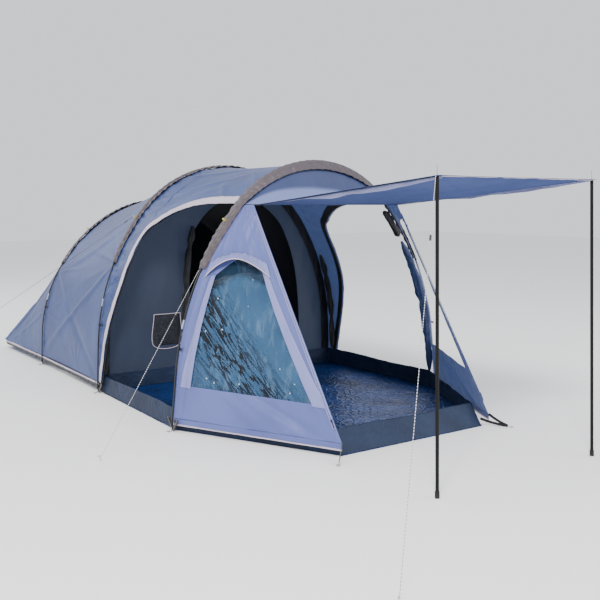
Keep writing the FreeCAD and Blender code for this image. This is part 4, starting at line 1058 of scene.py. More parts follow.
def makeWindowBorders(finishes):
    # doubled cloth sewn flat beside the window
    for name, start, stop in (("windowLeftBorder", -0.085, 0.006), ("windowRightBorder", 0.994, 1.105)):
        cw, rw = np.meshgrid(np.linspace(start, stop, 12), np.linspace(-0.02, 1.0, 130))
        across, up = windowZone(cw, rw)
        points = porchPoint(-1, across, up)
        lift = 0.0045 + panelFolds(across, up, 61) + 0.0012 * softNoise(across, up, 0.03, 66)
        piece = clothSheet(name, points, lift, finishes, awayFrom=porchMiddle)
        finishSheet(piece, "root", ())


paneLook = {"columns": 120, "rows": 170, "depth": -0.006, "slack": 0.009}


def makePane(finishes):
    cw, rw = np.meshgrid(
        np.linspace(-0.015, 1.015, paneLook["columns"]), np.linspace(-0.01, 1.03, paneLook["rows"]),
    )
    across, up = windowZone(cw, rw)
    points = porchPoint(-1, across, up)
    slack = np.sin(np.pi * np.clip(cw, 0, 1)) * np.sin(np.pi * np.clip(rw, 0, 1)) ** 0.5
    lines = softNoise(across * 1.25 + up * 0.5, up * 0.55, 0.035, 71)
    folds = np.clip(0.16 - np.abs(lines), 0, 1) / 0.16
    corner = np.clip(1.2 - cw * 0.9 - rw * 1.1, 0, 1)
    vertical = softNoise(across, up * 0.12, 0.022, 73) * np.clip((rw - 0.45) / 0.4, 0, 1)
    lift = paneLook["depth"] - paneLook["slack"] * slack * (0.6 + 0.4 * softNoise(across, up, 0.16, 72))
    lift += 0.0042 * folds * corner * slack + 0.0012 * vertical * slack + 0.0010 * softNoise(
        across, up, 0.03, 74,
    ) * slack
    piece = clothSheet("windowPane", points, lift, finishes, 0.0008, awayFrom=porchMiddle)
    patch = np.clip(
        1.15 - 1.1 * np.abs(cw + 0.9 * rw - 0.62) * 2.2, 0, 1,
    ) + 0.4 * np.clip(1 - cw * 1.2, 0, 1) * np.clip(1 - rw, 0, 1)
    paint(piece, "creased", np.clip(patch, 0, 1))
    paint(piece, "clear", np.clip((rw - 0.83) / 0.06, 0, 1))
    finishSheet(piece, "root", ("window_pane",))


hood = {
    "left": -0.20,
    "right": 1.15,
    "rim": (0.655, 0.076),
    "seam": (0.722, 0.048),
    "flare": 0.055,
    "off": 0.006,
    "piping": 0.0032,
}


def makeHood(finishes, piping):
    # an arched brow over the window that stands out in the middle
    cw, r = np.meshgrid(np.linspace(hood["left"], hood["right"], 140), np.linspace(0, 1, 26))
    bow = np.sin(np.pi * np.clip((cw - hood["left"]) / (hood["right"] - hood["left"]), 0, 1))
    rim, seam = hood["rim"][0] + hood["rim"][1] * bow ** 0.7, hood["seam"][0] + hood["seam"][1] * bow ** 0.8
    across = lerp(porch["window"]["left"][1], porch["window"]["right"][1], cw)
    base = porchPoint(-1, across, lerp(rim, seam, r))
    normal = gridNormals(base)
    normal = normal * -np.sign(normal[..., 0:1])
    out = hood["off"] + hood["flare"] * bow ** 0.8 * (1 - r) ** 0.8
    points = base + normal * out[..., None]
    lift = puckers(
        cw * 0.8, 0.1 - r * 0.1, 0.035, 0.05, 0.006, 75,
    ) + 0.002 * softNoise(cw * 0.8, r * 0.1, 0.05, 76)
    piece = clothSheet("windowHood", points, lift, finishes, awayFrom=(0, front["y"] + 0.5, 0.3))
    finishSheet(piece, "root", ("window_hood",))
    edge = points[0] + normal[0] * 0.001
    trim = tubeAlong("hoodPiping", edge[::2], hood["piping"], 8, piping)
    attach(trim, "root")


def tubeAlong(name, path, radius, sides, finish, radii=None, shape=None):
    # rings square to a path; shape changes the radius by (share along, turn)
    path = np.asarray(path, float)
    tangent = np.gradient(path, axis=0)
    tangent /= np.linalg.norm(tangent, axis=1, keepdims=True)
    start = np.array([0.0, 0.0, 1.0]) if abs(tangent[0][2]) < 0.9 else np.array([0.0, 1.0, 0.0])
    first = np.cross(tangent, start)
    first /= np.linalg.norm(first, axis=1, keepdims=True)
    second = np.cross(tangent, first)
    turn = np.linspace(0, 2 * math.pi, sides, endpoint=False)
    along = lengthAlong(path)
    size = np.full((len(path), sides), radius) if radii is None else np.repeat(
        np.asarray(radii)[:, None], sides, 1,
    )
    if shape is not None:
        size = size * shape(along[:, None] + 0 * turn[None], turn[None] + 0 * along[:, None])
    ring = first[:, None] * np.cos(turn)[None, :, None] + second[:, None] * np.sin(turn)[None, :, None]
    points = path[:, None] + ring * size[..., None]
    index = np.arange(len(path) * sides).reshape(len(path), sides)
    after = np.roll(index, -1, axis=1)
    quads = np.stack([index[:-1], after[:-1], after[1:], index[1:]], -1).reshape(-1, 4)
    corners = np.concatenate([points.reshape(-1, 3), path[:1], path[-1:]])
    caps = [[a, b, len(corners) - 2] for a, b in zip(after[0], index[0])]
    caps += [[a, b, len(corners) - 1] for a, b in zip(index[-1], after[-1])]
    around = np.stack([turn[None] * radius + 0 * along[:, None], along[:, None] + 0 * turn[None]], -1)
    flat = np.concatenate([around.reshape(-1, 2), [[0, 0], [0, along[-1]]]])
    piece = meshFrom(name, corners, quads.tolist() + caps, flat, np.full(len(corners), 0.5), [finish])
    recalculate(piece)
    smoothShade(piece)
    return piece


def recalculate(piece):
    pick([piece])
    bpy.ops.object.mode_set(mode="EDIT")
    bpy.ops.mesh.select_all(action="SELECT")
    bpy.ops.mesh.normals_make_consistent(inside=False)
    bpy.ops.object.mode_set(mode="OBJECT")


# ---- rolled cloth

def rollShape(ties, seed):
    # folded layers show as ridges that wind slowly round, pinched in where a tie holds them
    def shape(along, turn):
        ridges = 0.10 * np.sin(
            3 * turn + 5.0 * along + 2 * softNoise(along, turn * 0.1, 0.2, seed)
        ) + 0.05 * np.sin(7 * turn - 9.0 * along)
        lumps = 0.16 * softNoise(along, 0.07 * np.cos(turn), 0.07, seed + 1) + 0.10 * softNoise(
            along, 0.05 * np.sin(turn), 0.035, seed + 2,
        )
        pinch = 1.0
        for tie in ties:
            pinch = pinch * (1 - 0.38 * np.exp(-((along - tie) / 0.035) ** 2))
        return (0.95 + ridges + lumps) * pinch
    return shape


def archPath(arch, low, high, side, inward, ahead, count):
    runs = np.linspace(runAt(arch, low, 0.0), runAt(arch, high, 0.0), count)
    runs = runs if side < 0 else 2 * arch["half"] - runs
    path = archPoint(arch, runs, -inward)[0]
    path[:, 1] -= ahead
    return path


def endTaper(count, share=0.12, tip=0.35):
    place = np.linspace(0, 1, count)
    near = np.clip(np.minimum(place, 1 - place) / share, 0, 1)
    return tip + (1 - tip) * np.sin(near * math.pi / 2)


def finishRoll(piece, replaced=()):
    attach(piece, "root", replaced)


rolls = {
    # heights on the arch, distances inward and ahead of its pole, radius, and where ties hold it
    "side": {
        "from": 0.15, "to": 1.08, "inward": 0.050, "ahead": 0.048, "radius": 0.027, "ties": (0.30, 0.72),
    },
    "porch": {"from": 0.17, "to": 1.30, "inward": 0.094, "ahead": 0.046, "radius": 0.034, "ties": (0.60,)},
    "net": {"from": 1.345, "to": 1.56, "inward": 0.094, "ahead": 0.046, "radius": 0.026, "ties": ()},
    "curtain": {"up": 0.93, "bow": 0.05, "behind": 0.036, "radius": 0.024, "ties": (0.16, 0.33, 0.50)},
    "curtainEdge": {"behind": 0.022, "width": 0.022},
}


def archRoll(name, look, arch, side, count, sides, finish, radii, seed):
    path = archPath(arch, look["from"], look["to"], side, look["inward"], look["ahead"], count)
    return tubeAlong(name, path, look["radius"], sides, finish, radii, rollShape(look["ties"], seed))


def makeRolls(finishes):
    count, netCount, curtainCount = 120, 50, 90
    look = rolls["side"]
    for name, side in (("leftDoorRoll", -1), ("rightDoorRoll", 1)):
        wide = look["radius"] * endTaper(count)
        roll = archRoll(name, look, middle, side, count, 40, finishes["black"], wide, 80 + side)
        finishRoll(roll, ("side_door_rolls",))
    look = rolls["porch"]
    wide = look["radius"] * endTaper(count) * (0.85 + 0.35 * np.sin(np.linspace(0, math.pi, count)) ** 2)
    roll = archRoll("porchDoorRoll", look, front, 1, count, 44, finishes["navyRoll"], wide, 84)
    finishRoll(roll, ("porch_rolls",))
    look = rolls["net"]
    wide = look["radius"] * endTaper(netCount)
    roll = archRoll("netRoll", look, front, 1, netCount, 32, finishes["black"], wide, 86)
    finishRoll(roll)
    look = rolls["curtain"]
    cw = np.linspace(-0.02, 1.0, curtainCount)
    line = windowZone(cw, look["up"] - look["bow"] * np.sin(np.pi * np.clip(cw, 0, 1)))
    path = porchPoint(-1, *line) - outwardOf(-1, *line) * look["behind"]
    wide = look["radius"] * endTaper(curtainCount, 0.06, 0.5)
    shape = rollShape(look["ties"], 88)
    roll = tubeAlong("windowCurtain", path, look["radius"], 36, finishes["black"], wide, shape)
    finishRoll(roll, ("window_curtain",))
    look = rolls["curtainEdge"]
    rw = np.linspace(0.99, 0.06, 60)
    line = windowZone(0.55 + 0.40 * (1 - rw), rw)
    facing = outwardOf(-1, *line)
    path = porchPoint(-1, *line) - facing * look["behind"]
    strap = ribbon("curtainEdge", path, look["width"], facing, finishes["black"])
    attach(strap, "root")


def outwardOf(side, across, up):
    low = porchPoint(side, across, np.clip(up - 0.02, 0, 1))
    high = porchPoint(side, across, np.clip(up + 0.02, 0, 1))
    near = porchPoint(side, np.clip(across - 0.02, 0, 1), up)
    far = porchPoint(side, np.clip(across + 0.02, 0, 1), up)
    normal = np.cross(high - low, far - near)
    normal /= np.linalg.norm(normal, axis=-1, keepdims=True)
    return normal * np.sign(normal[..., 0:1] * side)


def ribbon(name, path, width, facing, finish, thickness=0.0016, rows=5):
    # a strap along a path, its flat face towards facing
    path = np.asarray(path, float)
    tangent = np.gradient(path, axis=0)
    tangent /= np.linalg.norm(tangent, axis=1, keepdims=True)
    across = np.cross(tangent, facing)
    across /= np.linalg.norm(across, axis=1, keepdims=True)
    points = np.stack([path + across * width * share for share in np.linspace(-0.5, 0.5, rows)])
    piece = clothSheet(name, points, np.zeros(points.shape[:2]), [finish], thickness)
    recalculate(piece)
    return piece


# ---- brow and canopy


def makeBrow(finishes):
    share, step = np.meshgrid(np.linspace(0, 1, 170), np.linspace(0, 1, 26))
    high = porch["hingeHeight"] + 0.005
    crown = overTop(front, high, share[0])
    line = np.stack(
        [
            porch["hingeHalf"] * (2 * share[0] - 1), np.full(170, porch["hingeY"] + 0.002),
            np.full(170, high),
        ],
        -1,
    )
    points = lerp(line[None], crown[None], step[..., None])
    span = share * 1.6
    away = step * 0.3
    lift = puckers(span, away, 0.04, 0.10, 0.004, 91) + puckers(
        span, 0.3 - away, 0.05, 0.06, 0.004, 93,
    ) - 0.022 * np.sin(np.pi * step) * np.sin(np.pi * share)
    lift *= np.clip(np.minimum(step, 1 - step) / 0.08, 0, 1)
    piece = clothSheet("browFly", points, lift, finishes, awayFrom=(0, front["y"] + 0.4, 0.6))
    # painted highlight: the lower part of the brow, where the slack cloth faces the sky, takes the paler
    # colour
    slack = 0.62 - 0.30 * share + 0.07 * softNoise(span, away * 0, 0.5, 94)
    paint(piece, "paintedLight", np.clip((slack - step) / 0.10, 0, 1))
    finishSheet(piece, "root", ("brow_panel",))


canopy = {
    "rise": 4.9, "rootHalf": 0.664, "tipHalf": 0.672, "reach": 1.854, "sag": 0.042, "flap": 0.034,
    "farFlap": 0.030, "flapInset": 0.045, "eyeletX": 0.655, "eyeletHole": 0.008,
}


def canopyPoint(x, along, drop=0.0):
    rise = math.radians(canopy["rise"])
    y = porch["hingeY"] - along * math.cos(rise)
    z = porch["hingeHeight"] + along * math.sin(rise) - drop
    return np.stack([x, y, z], -1)


def makeCanopy(finishes):
    u, v = np.meshgrid(np.linspace(-1, 1, 180), np.linspace(0, 1, 230))
    along = 0.004 + (canopy["reach"] - 0.004) * v
    half = lerp(canopy["rootHalf"], canopy["tipHalf"], v)
    points = canopyPoint(half * u, along)
    x = half * u
    lift = -canopy["sag"] * (1 - u * u) * np.sin(np.pi * np.clip(v * 0.96, 0, 1)) ** 0.8
    lift += puckers(x, along, 0.05, 0.12, 0.004, 101)
    for side in (-1, 1):
        lift += fan(
            side * x, -along, (canopy["eyeletX"], -canopy["reach"] + 0.03), 0.9, (2.2, 2.5, 2.85), 0.028,
            0.008,
        )
        lift += fan(side * x, -along, (canopy["rootHalf"], 0.0), 0.8, (3.7, 4.1), 0.028, -0.006)
    lift += 0.004 * softNoise(x, along, 0.35, 103) + 0.0015 * softNoise(x, along, 0.07, 104)
    lift *= np.clip(np.minimum(1 - np.abs(u), v) / 0.03, 0, 1) * np.clip((1 - v) / 0.012, 0.3, 1)
    eyeletY = middleOf("canopy_eyelets").y
    gap = np.hypot(np.abs(points[..., 0]) - canopy["eyeletX"], points[..., 1] - eyeletY)
    middleGap = (gap[:-1, :-1] + gap[1:, 1:]) / 2
    piece = clothSheet(
        "canopyFly", points, lift, finishes["fly"], hole=middleGap < canopy["eyeletHole"],
        awayFrom=(0, porch["hingeY"] - 0.9, 0.5),
    )
    finishSheet(piece, "canopy", ("canopy_panel",))
    v = np.linspace(0, 1, 160)
    along = 0.01 + (canopy["reach"] - 0.03) * v
    for name, side, deep in (
        ("canopyNearFlap", -1, canopy["flap"]), ("canopyFarFlap", 1, canopy["farFlap"]),
    ):
        fall = np.interp(
            v, (0, 0.25, 0.45, 0.85, 1), (0.05, 0.25, 0.95, 0.85, 0.5),
        ) * (1 + 0.25 * softNoise(v * 1.8, 0 * v, 0.16, 105))
        drop = np.linspace(0, 1, 14)[:, None] * (deep * fall)[None]
        wave = 0.010 * softNoise(along[None] + 0 * drop, 0 * drop, 0.11, 107) * drop / deep
        x = side * (
            lerp(canopy["rootHalf"], canopy["tipHalf"], v)[None] - canopy["flapInset"] - 0.10 * drop
        ) + 0 * drop
        points = canopyPoint(x, along[None] + 0 * drop, drop - 0.002)
        piece = clothSheet(
            name, points, wave, finishes["flap"], awayFrom=(0, porch["hingeY"] - 0.9, points[..., 2].mean()),
        )
        # painted light and shade: each flap is dark blue along its top and pale below, with a wavy line
        # between
        paint(piece, "paintedLight", np.clip((0.38 + 0.2 * wave / 0.010 - drop / (deep * fall)[None]) / 0.06, 0, 1))
        finishSheet(piece, "canopy", ())
    for name, side, inset in (("canopyNearZip", -1, 0.016), ("canopyFarZip", 1, 0.022)):
        path = canopyPoint(side * (lerp(canopy["rootHalf"], canopy["tipHalf"], v) - inset), along, 0.0055)
        tape = ribbon(name, path, 0.018, np.array([0.0, 0.0, -1.0]), finishes["black"])
        attach(tape, "canopy")
    x = np.linspace(-0.64, 0.64, 120)
    rows = [
        canopyPoint(
            x, np.full(120, canopy["reach"] - back), 0.0045 + 0.010 * math.sin(math.pi * n / 6) * 0.2,
        ) for n,
        back in enumerate(np.linspace(0.002, 0.028, 7))
    ]
    points = np.stack(rows)
    piece = clothSheet(
        "canopyHem", points, 0.0015 * softNoise(points[..., 0], points[..., 1], 0.05, 109),
        finishes["binding"], awayFrom=(0, points[0, 0, 1], 3.0),
    )
    finishSheet(piece, "canopy", ("canopy_binding",))


# ---- hem and skirt

hemLook = {"tape": 0.019, "skirt": 0.042, "corner": 0.030}


def hemLine(count):
    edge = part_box("fly_rear_wall")[1].y
    half = [halfWidthAt(arch, hem) for arch in (middle, rear)]
    right = [
        (half[0], middle["y"]), (half[1], rear["y"]), (tail["corner"], edge - 0.02 - hemLook["corner"]),
        (tail["corner"] - hemLook["corner"], edge - 0.004),
    ]
    corners = [(-x, y) for x, y in right] + [(x, y) for x, y in reversed(right)]
    corners = np.array(corners)
    run = lengthAlong(corners)
    place = np.linspace(0, run[-1], count)
    return np.stack([np.interp(place, run, corners[:, 0]), np.interp(place, run, corners[:, 1])], -1), place


def makeHem(finishes):
    line, place = hemLine(520)
    for name, high, low, out, finish, replaced in (
        ("hemTape", 0.004, hemLook["tape"], 0.0015, "binding", ()),
        ("hemSkirt", hemLook["tape"] - 0.003, hemLook["skirt"], -0.001, "black", ("fly_hem",)),
    ):
        drop = np.linspace(high, low, 8)
        points = np.stack([np.concatenate([line, np.full((len(line), 1), hem - d)], 1) for d in drop])
        a, b = place[None] + 0 * drop[:, None], drop[:, None] + 0 * place[None]
        lift = out + 0.003 * softNoise(a, b * 0.4, 0.06, 111) * np.clip(drop[:, None] / 0.02, 0.2, 1.4)
        piece = clothSheet(name, points, lift, [finishes[finish]], awayFrom=(0, middleOf("fly_hem").y, hem))
        finishSheet(
            piece, "root",
            replaced,
        )
    bands = {"binding": [], "flyPale": []}
    for side in (-1, 1):
        across = np.linspace(0.0, 1.0, 90)
        for finish, high, low in (("flyPale", 0.000, 0.036), ("binding", 0.034, 0.045)):
            rows = []
            for drop in np.linspace(high, low, 7):
                base = porchPoint(side, across, np.zeros(90))
                rows.append(base - np.array([0, 0, drop]))
            points = np.stack(rows)
            lift = 0.002 + 0.003 * softNoise(across[None] + 0 * points[..., 0], points[..., 2], 0.08, 115)
            bands[finish].append(
                (
                    clothSheet("band", points, lift, [finishes[finish]], awayFrom=(0, front["y"], hem)),
                    points,
                )
            )
    for finish, slotName in (("binding", "pale_binding"), ("flyPale", "fly_cloth")):
        piece = joined(
            [band for band, _ in bands[finish]], "porchHem" if finish == "binding" else "porchSkirt",
        )
        attach(piece, "root")


# ---- inner tent

cabin = {
    "inset": -0.075, "ahead": 0.046, "tail": 0.769,
    "door": (
        (-0.34, 0.15), (-0.34, 1.13), (-0.25, 1.39), (-0.06, 1.56), (0.17, 1.62), (0.42, 1.54),
        (0.64, 1.33), (0.78, 0.96), (0.83, 0.52), (0.83, 0.15),
    ),
    "drape": 0.014,
}


def cabinWallPoints(columns, bottom, rows):
    plane = middle["y"] + cabin["ahead"]
    doorArch = smoothCurve(cabin["door"], 30)
    run = lengthAlong(doorArch)
    share = np.linspace(0, 1, columns)
    inside = np.stack([np.interp(share * run[-1], run, doorArch[:, k]) for k in (0, 1)], -1)
    outside = overTop(middle, 0.006, share, cabin["inset"])[:, [0, 2]]
    low = np.linspace(0, 1, bottom)[1:, None]
    inside = np.concatenate([inside, lerp(inside[-1], inside[0], low)])
    outside = np.concatenate([outside, lerp(outside[-1], outside[0], low)])
    step = np.linspace(0, 1, rows)[:, None, None]
    flat = lerp(inside[None], outside[None], step)
    return np.stack([flat[..., 0], np.full(flat.shape[:2], plane), flat[..., 1]], -1)


def makeInnerTent(finishes):
    points = cabinWallPoints(260, 60, 56)
    x, z = points[..., 0], points[..., 2]
    step = np.linspace(0, 1, len(points))[:, None]
    drape = 0.6 * softNoise(
        x + 0.12 * z, z * 0.22, 0.16, 121,
    ) + 0.4 * softNoise(x - 0.2 * z, z * 0.3, 0.07, 122)
    lift = cabin["drape"] * (drape - 0.5) * np.clip(step / 0.06, 0.35, 1) * np.clip((1 - step) / 0.05, 0, 1)
    piece = clothSheet("cabinFrontWall", points, lift, finishes["inner"], weld=True, awayFrom=(0, 9.0, 0.8))
    finishSheet(piece, "root", ("inner_front_wall",))
    share, step = np.meshgrid(np.linspace(0, 1, 200), np.linspace(0, 1, 44))
    near, far = overTop(
        middle, 0.006, share[0], cabin["inset"],
    ), overTop(rear, 0.006, share[0], cabin["inset"])
    near[:, 1] += 0.050
    points = lerp(near[None], far[None], step[..., None])
    lift = -0.016 * np.sin(np.pi * step) * np.sin(
        np.pi * np.clip(share, 0.02, 0.98)
    ) + 0.004 * softNoise(share * 4.4, step * 1.4, 0.2, 124) * np.sin(np.pi * step)
    piece = clothSheet("cabinTunnel", points, lift, finishes["inner"], awayFrom=(0, rear["y"] - 0.7, 0.2))
    finishSheet(piece, "root", ("inner_tunnel",))
    half, edge = rear["foot"] + cabin["inset"] - 0.05, rear["y"] + cabin["tail"]
    top = far + np.array([0, 0.003, 0])
    place = share[0]
    across = np.clip((place - 0.25) / 0.5, 0, 1)
    ends = 1 - np.clip(np.minimum(place, 1 - place) / 0.25, 0, 1)
    ground = np.stack(
        [
            -half + 2 * half * across + np.sign(place - 0.5) * 0.014 * (ends > 0), edge - 0.16 * ends,
            np.full_like(place, 0.006),
        ],
        -1,
    )
    points = lerp(top[None], ground[None], step[..., None])
    lift = -0.02 * np.sin(np.pi * step) * np.sin(
        np.pi * np.clip(share, 0.02, 0.98)
    ) + 0.004 * softNoise(share * 4, step * 1.6, 0.2, 126) * np.sin(np.pi * step)
    piece = clothSheet("cabinRearWall", points, lift, finishes["inner"], awayFrom=(0, rear["y"] - 0.3, 0.1))
    finishSheet(piece, "root", ("inner_rear_wall",))
    rows = []
    for inset in np.linspace(-0.032, -0.116, 12):
        band = overTop(middle, 0.008, np.linspace(0, 1, 300), inset)
        band[:, 1] += 0.034
        rows.append(band)
    points = np.stack(rows)
    lift = 0.005 * softNoise(runsOf(points, 1), runsOf(points, 0), 0.06, 128)
    piece = clothSheet("cabinEdgeBand", points, lift, finishes["black"], awayFrom=(0, 9.0, 0.8))
    finishSheet(piece, "root", ("inner_edge_band",))
    plane = middle["y"] + cabin["ahead"] - 0.034
    path = smoothCurve(
        [
            (-0.385, plane, 0.17), (-0.402, plane, 0.5), (-0.400, plane, 0.80), (-0.372, plane, 1.12),
            (-0.33, plane, 1.36),
        ],
        26,
    )
    roll = tubeAlong(
        "cabinDoorRoll", path, 0.028, 36, finishes["black"][0], 0.028 * endTaper(len(path), 0.08, 0.5),
        rollShape((0.31, 0.63, 1.02), 130),
    )
    finishRoll(roll, ("inner_door_roll",))
    makePocket(finishes)


def makePocket(finishes):
    low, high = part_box("mesh_pocket")
    u, v = np.meshgrid(np.linspace(0, 1, 40), np.linspace(0, 1, 40))
    points = np.stack([lerp(low.x, high.x, u), np.full_like(u, high.y - 0.003), lerp(low.z, high.z, v)], -1)
    lift = 0.012 * np.sin(np.pi * u) * (0.35 + 0.65 * v) * np.clip(v / 0.1, 0, 1) + 0.0015 * softNoise(
        u * 0.25, v * 0.27, 0.04, 133,
    )
    piece = clothSheet("netPocket", points, lift, finishes["net"], 0.001, awayFrom=(0, 9.0, 0.5))
    finishSheet(piece, "root", ("mesh_pocket",))
    y = high.y - 0.005
    rim = [(low.x, y, high.z), (low.x, y, low.z), (high.x, y, low.z), (high.x, y, high.z)]
    trim = tubeAlong("pocketTrim", smoothCurve(rim, 24), 0.0035, 8, finishes["binding"][0])
    lid = np.stack([lerp(low.x, high.x, u[0]), y - 0.012 * np.sin(np.pi * u[0]), np.full(40, high.z)], -1)
    lid = tubeAlong("pocketTop", lid, 0.0035, 8, finishes["binding"][0])
    trim = joined([trim, lid], "pocketTrim")
    attach(trim, "root")


# ---- floors


def tubSheet(name, bottom, top, height, creases, finishes, seed):
    # a floor of a half outline front to rear, and a wall round it that leans to the upper outline
    bottom, top = np.array(bottom), np.array(top)
    columns, rows = 150, 190
    u, v = np.meshgrid(np.linspace(-1, 1, columns), np.linspace(bottom[0][1], bottom[-1][1], rows))
    half = np.interp(v, bottom[:, 1], bottom[:, 0])
    points = np.stack([u * half, v, np.full_like(u, 0.0025)], -1)
    ridge = np.abs(softNoise(u * half + 0.3 * v, v - 0.2 * u, 0.16, seed))
    lift = creases * (np.clip(0.35 - ridge, 0, 1) / 0.35) ** 2 + 0.6 * creases * (
        1 + softNoise(u * half, v, 0.25, seed + 1)
    ) / 2
    floor = clothSheet(name + "Floor", points, lift, finishes[:1], 0.0008, awayFrom=(0, 0, -9))
    low = np.concatenate([bottom * [-1, 1], bottom[::-1], bottom[:1] * [-1, 1]])
    up = np.concatenate([top * [-1, 1], top[::-1], top[:1] * [-1, 1]])
    run = lengthAlong(low)
    place = np.linspace(0, run[-1], 640)
    ring = [
        np.stack(
            [np.interp(place, run, line[:, 0]), np.interp(place, run, line[:, 1]), np.full(640, z)], -1,
        ) for line,
        z in ((low, 0.002), (up, height))
    ]
    sag = 1 - 0.10 * (0.5 + 0.5 * softNoise(place, 0 * place, 0.22, seed + 2))
    step = np.linspace(0, 1, 20)[:, None, None]
    points = lerp(ring[0][None], ring[1][None], step * sag[None, :, None])
    lift = 0.007 * softNoise(
        place[None] + 0 * step[..., 0], step[..., 0] * height, 0.07, seed + 3,
    ) * step[..., 0] - 0.004
    wall = clothSheet(
        name + "Wall", points, lift, finishes[1:2], 0.0008, awayFrom=(0, bottom[:, 1].mean(), 0.0),
    )
    piece = joined([floor, wall], name)
    return piece, 2 * bottom[:, 0].max() + 2 * height, bottom[-1][1] - bottom[0][1] + 2 * height


def makeFloors(finishes):
    wide = [0.619, 1.197, 1.177]
    lean = (porch["hingeY"] - porch["sillY"]) / (porch["hingeHeight"] - hem) * 0.15
    bottom = [
        (wide[0], porch["sillY"] + 0.034), (wide[1], front["y"] + 0.02), (wide[2], middle["y"] + 0.028),
    ]
    top = [
        (wide[0], porch["sillY"] + 0.034 + lean), (wide[1] - 0.012, front["y"] + 0.02),
        (wide[2] - 0.003, middle["y"] + 0.028),
    ]
    piece, across, along = tubSheet("livingFloor", bottom, top, 0.15, 0.004, finishes["tarpaulin"], 141)
    declareFloor(piece, "groundsheet")
    edge = rear["y"] + cabin["tail"]
    bottom = [
        (middle["foot"] - 0.089, middle["y"] + 0.056), (rear["foot"] - 0.089, rear["y"]),
        (rear["foot"] - 0.149, edge - 0.05),
    ]
    top = [(x - 0.006, y - (0.06 if y > rear["y"] + 0.1 else 0)) for x, y in bottom]
    piece, across, along = tubSheet("cabinFloor", bottom, top, 0.105, 0.003, finishes["tarpaulin"], 151)
    declareFloor(piece, "cabin_floor")


def declareFloor(piece, node):
    attach(piece, "root", (node,))


# ---- webbing and small sewn pieces

webbing = {"half": 0.078, "strap": 0.018, "tabReach": 0.026, "tabWide": 0.018}


def makeFootWebbing(finishes):
    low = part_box("foot_webbing")[0].z
    bands = []
    for arch in (front, middle, rear):
        for side in (-1, 1):
            x = side * (arch["foot"] - 0.016)
            v, u = np.meshgrid(np.linspace(0, 1, 20), np.linspace(-1, 1, 26), indexing="ij")
            half = lerp(webbing["half"], 0.009, v)
            points = np.stack(
                [x + side * 0.002 + 0 * u, arch["y"] + u * half, lerp(hem - 0.004, low, v)], -1,
            )
            lift = -0.004 * np.exp(-(u / 0.5) ** 2) * (1 - v) + 0.0025 * softNoise(
                u * 0.08, v * 0.09, 0.02, 161 + side,
            )
            bands.append(
                clothSheet(
                    "webbingTriangle", points, lift, [finishes["black"]], 0.0016,
                    awayFrom=(0, arch["y"], 0.05),
                )
            )
            for edge in (-1, 1):
                path = np.stack(
                    [
                        np.full(16, x + side * 0.0045),
                        arch["y"] + edge * np.linspace(webbing["half"] - 0.006, 0.006, 16),
                        np.linspace(hem - 0.002, low + 0.002, 16),
                    ],
                    -1,
                )
                bands.append(
                    ribbon("webbingEdge", path, 0.014, np.array([1.0 * side, 0, 0]), finishes["webbing"])
                )
    piece = joined(bands, "footWebbing")
    attach(piece, "root", ("foot_webbing",))


def makeTabs(finishes):
    tabs = []
    root = 0.0094
    for arch in (front, middle, rear):
        for side in (-1, 1):
            run = runAt(arch, arch["tab"], 0.0)
            run = run if side < 0 else 2 * arch["half"] - run
            base, out = archPoint(arch, np.array([run]), root)
            other = archPoint(arch, np.array([run + 0.01]), root)[0]
            tangent = (other - base)[0] / np.linalg.norm(other - base)
            base, out = base[0], out[0]
            turn = np.linspace(math.pi / 2, -math.pi / 2, 9)
            reach = webbing["tabReach"] - 0.004
            path = [base + tangent * 0.0045 + out * r for r in np.linspace(-0.004, reach, 8)]
            path += [
                base + out * (reach + 0.004 * math.cos(t)) + tangent * 0.0045 * math.sin(t)
                for t in turn[1:-1]
            ]
            path += [base - tangent * 0.0045 + out * r for r in np.linspace(reach, -0.004, 8)]
            path = np.array(path)
            points = np.stack(
                [
                    path + np.array([0, 1.0, 0]) * webbing["tabWide"] * share
                    for share in np.linspace(-0.5, 0.5, 7)
                ]
            )
            tabs.append(
                clothSheet("tab", points, np.zeros(points.shape[:2]), [finishes["yellowWebbing"]], 0.0014)
            )
    piece = joined(tabs, "guyTabs")
    recalculate(piece)
    attach(piece, "root", ("guy_tabs",))


def makeCornerStraps(finishes):
    # a strap from each sill corner down to its peg ring, and one from the ring back to the floor
    straps = []
    for side in (-1, 1):
        corner = np.array([side * porch["sillHalf"], porch["sillY"], hem])
        ring = np.array([side * (porch["sillHalf"] + 0.095), porch["sillY"] - 0.092, 0.010])
        foot = np.array([side * (porch["sillHalf"] - 0.03), porch["sillY"] + 0.05, 0.05])
        for start, end in ((corner, ring), (foot, ring)):
            step = np.linspace(0, 1, 20)[:, None]
            path = lerp(start, end, step) - np.array([0, 0, 0.006]) * np.sin(math.pi * step)
            facing = np.cross(end - start, [0, 0, 1.0])
            straps.append(
                ribbon(
                    "strap", path, webbing["strap"], facing / np.linalg.norm(facing), finishes["webbing"],
                    0.0018,
                )
            )
    piece = joined(straps, "cornerStraps")
    attach(piece, "root", ("corner_straps",))


def makeZips(finishes):
    tracks = []
    for side in (-1, 1):
        up = np.linspace(0.05, 0.95, 160)
        wide = np.linalg.norm(
            porchPoint(side, np.ones(160), up) - porchPoint(side, np.zeros(160), up), axis=1,
        )
        out = outwardOf(side, 1 - 0.015 / wide, up)
        path = porchPoint(side, 1 - 0.015 / wide, up) + out * 0.0048
        tracks.append(ribbon("track", path, 0.022, out, finishes["flyDoubled"], 0.0012))
        tracks.append(
            tubeAlong(
                "coil", path + out * 0.001, 0.0016, 8, finishes["nylon"], shape=lambda along,
                turn: 1 + 0.25 * np.sin(along * 900),
            )
        )
    piece = joined(tracks, "doorZips")
    attach(piece, "root", ("front_zip_tracks",))


# ---- guy lines

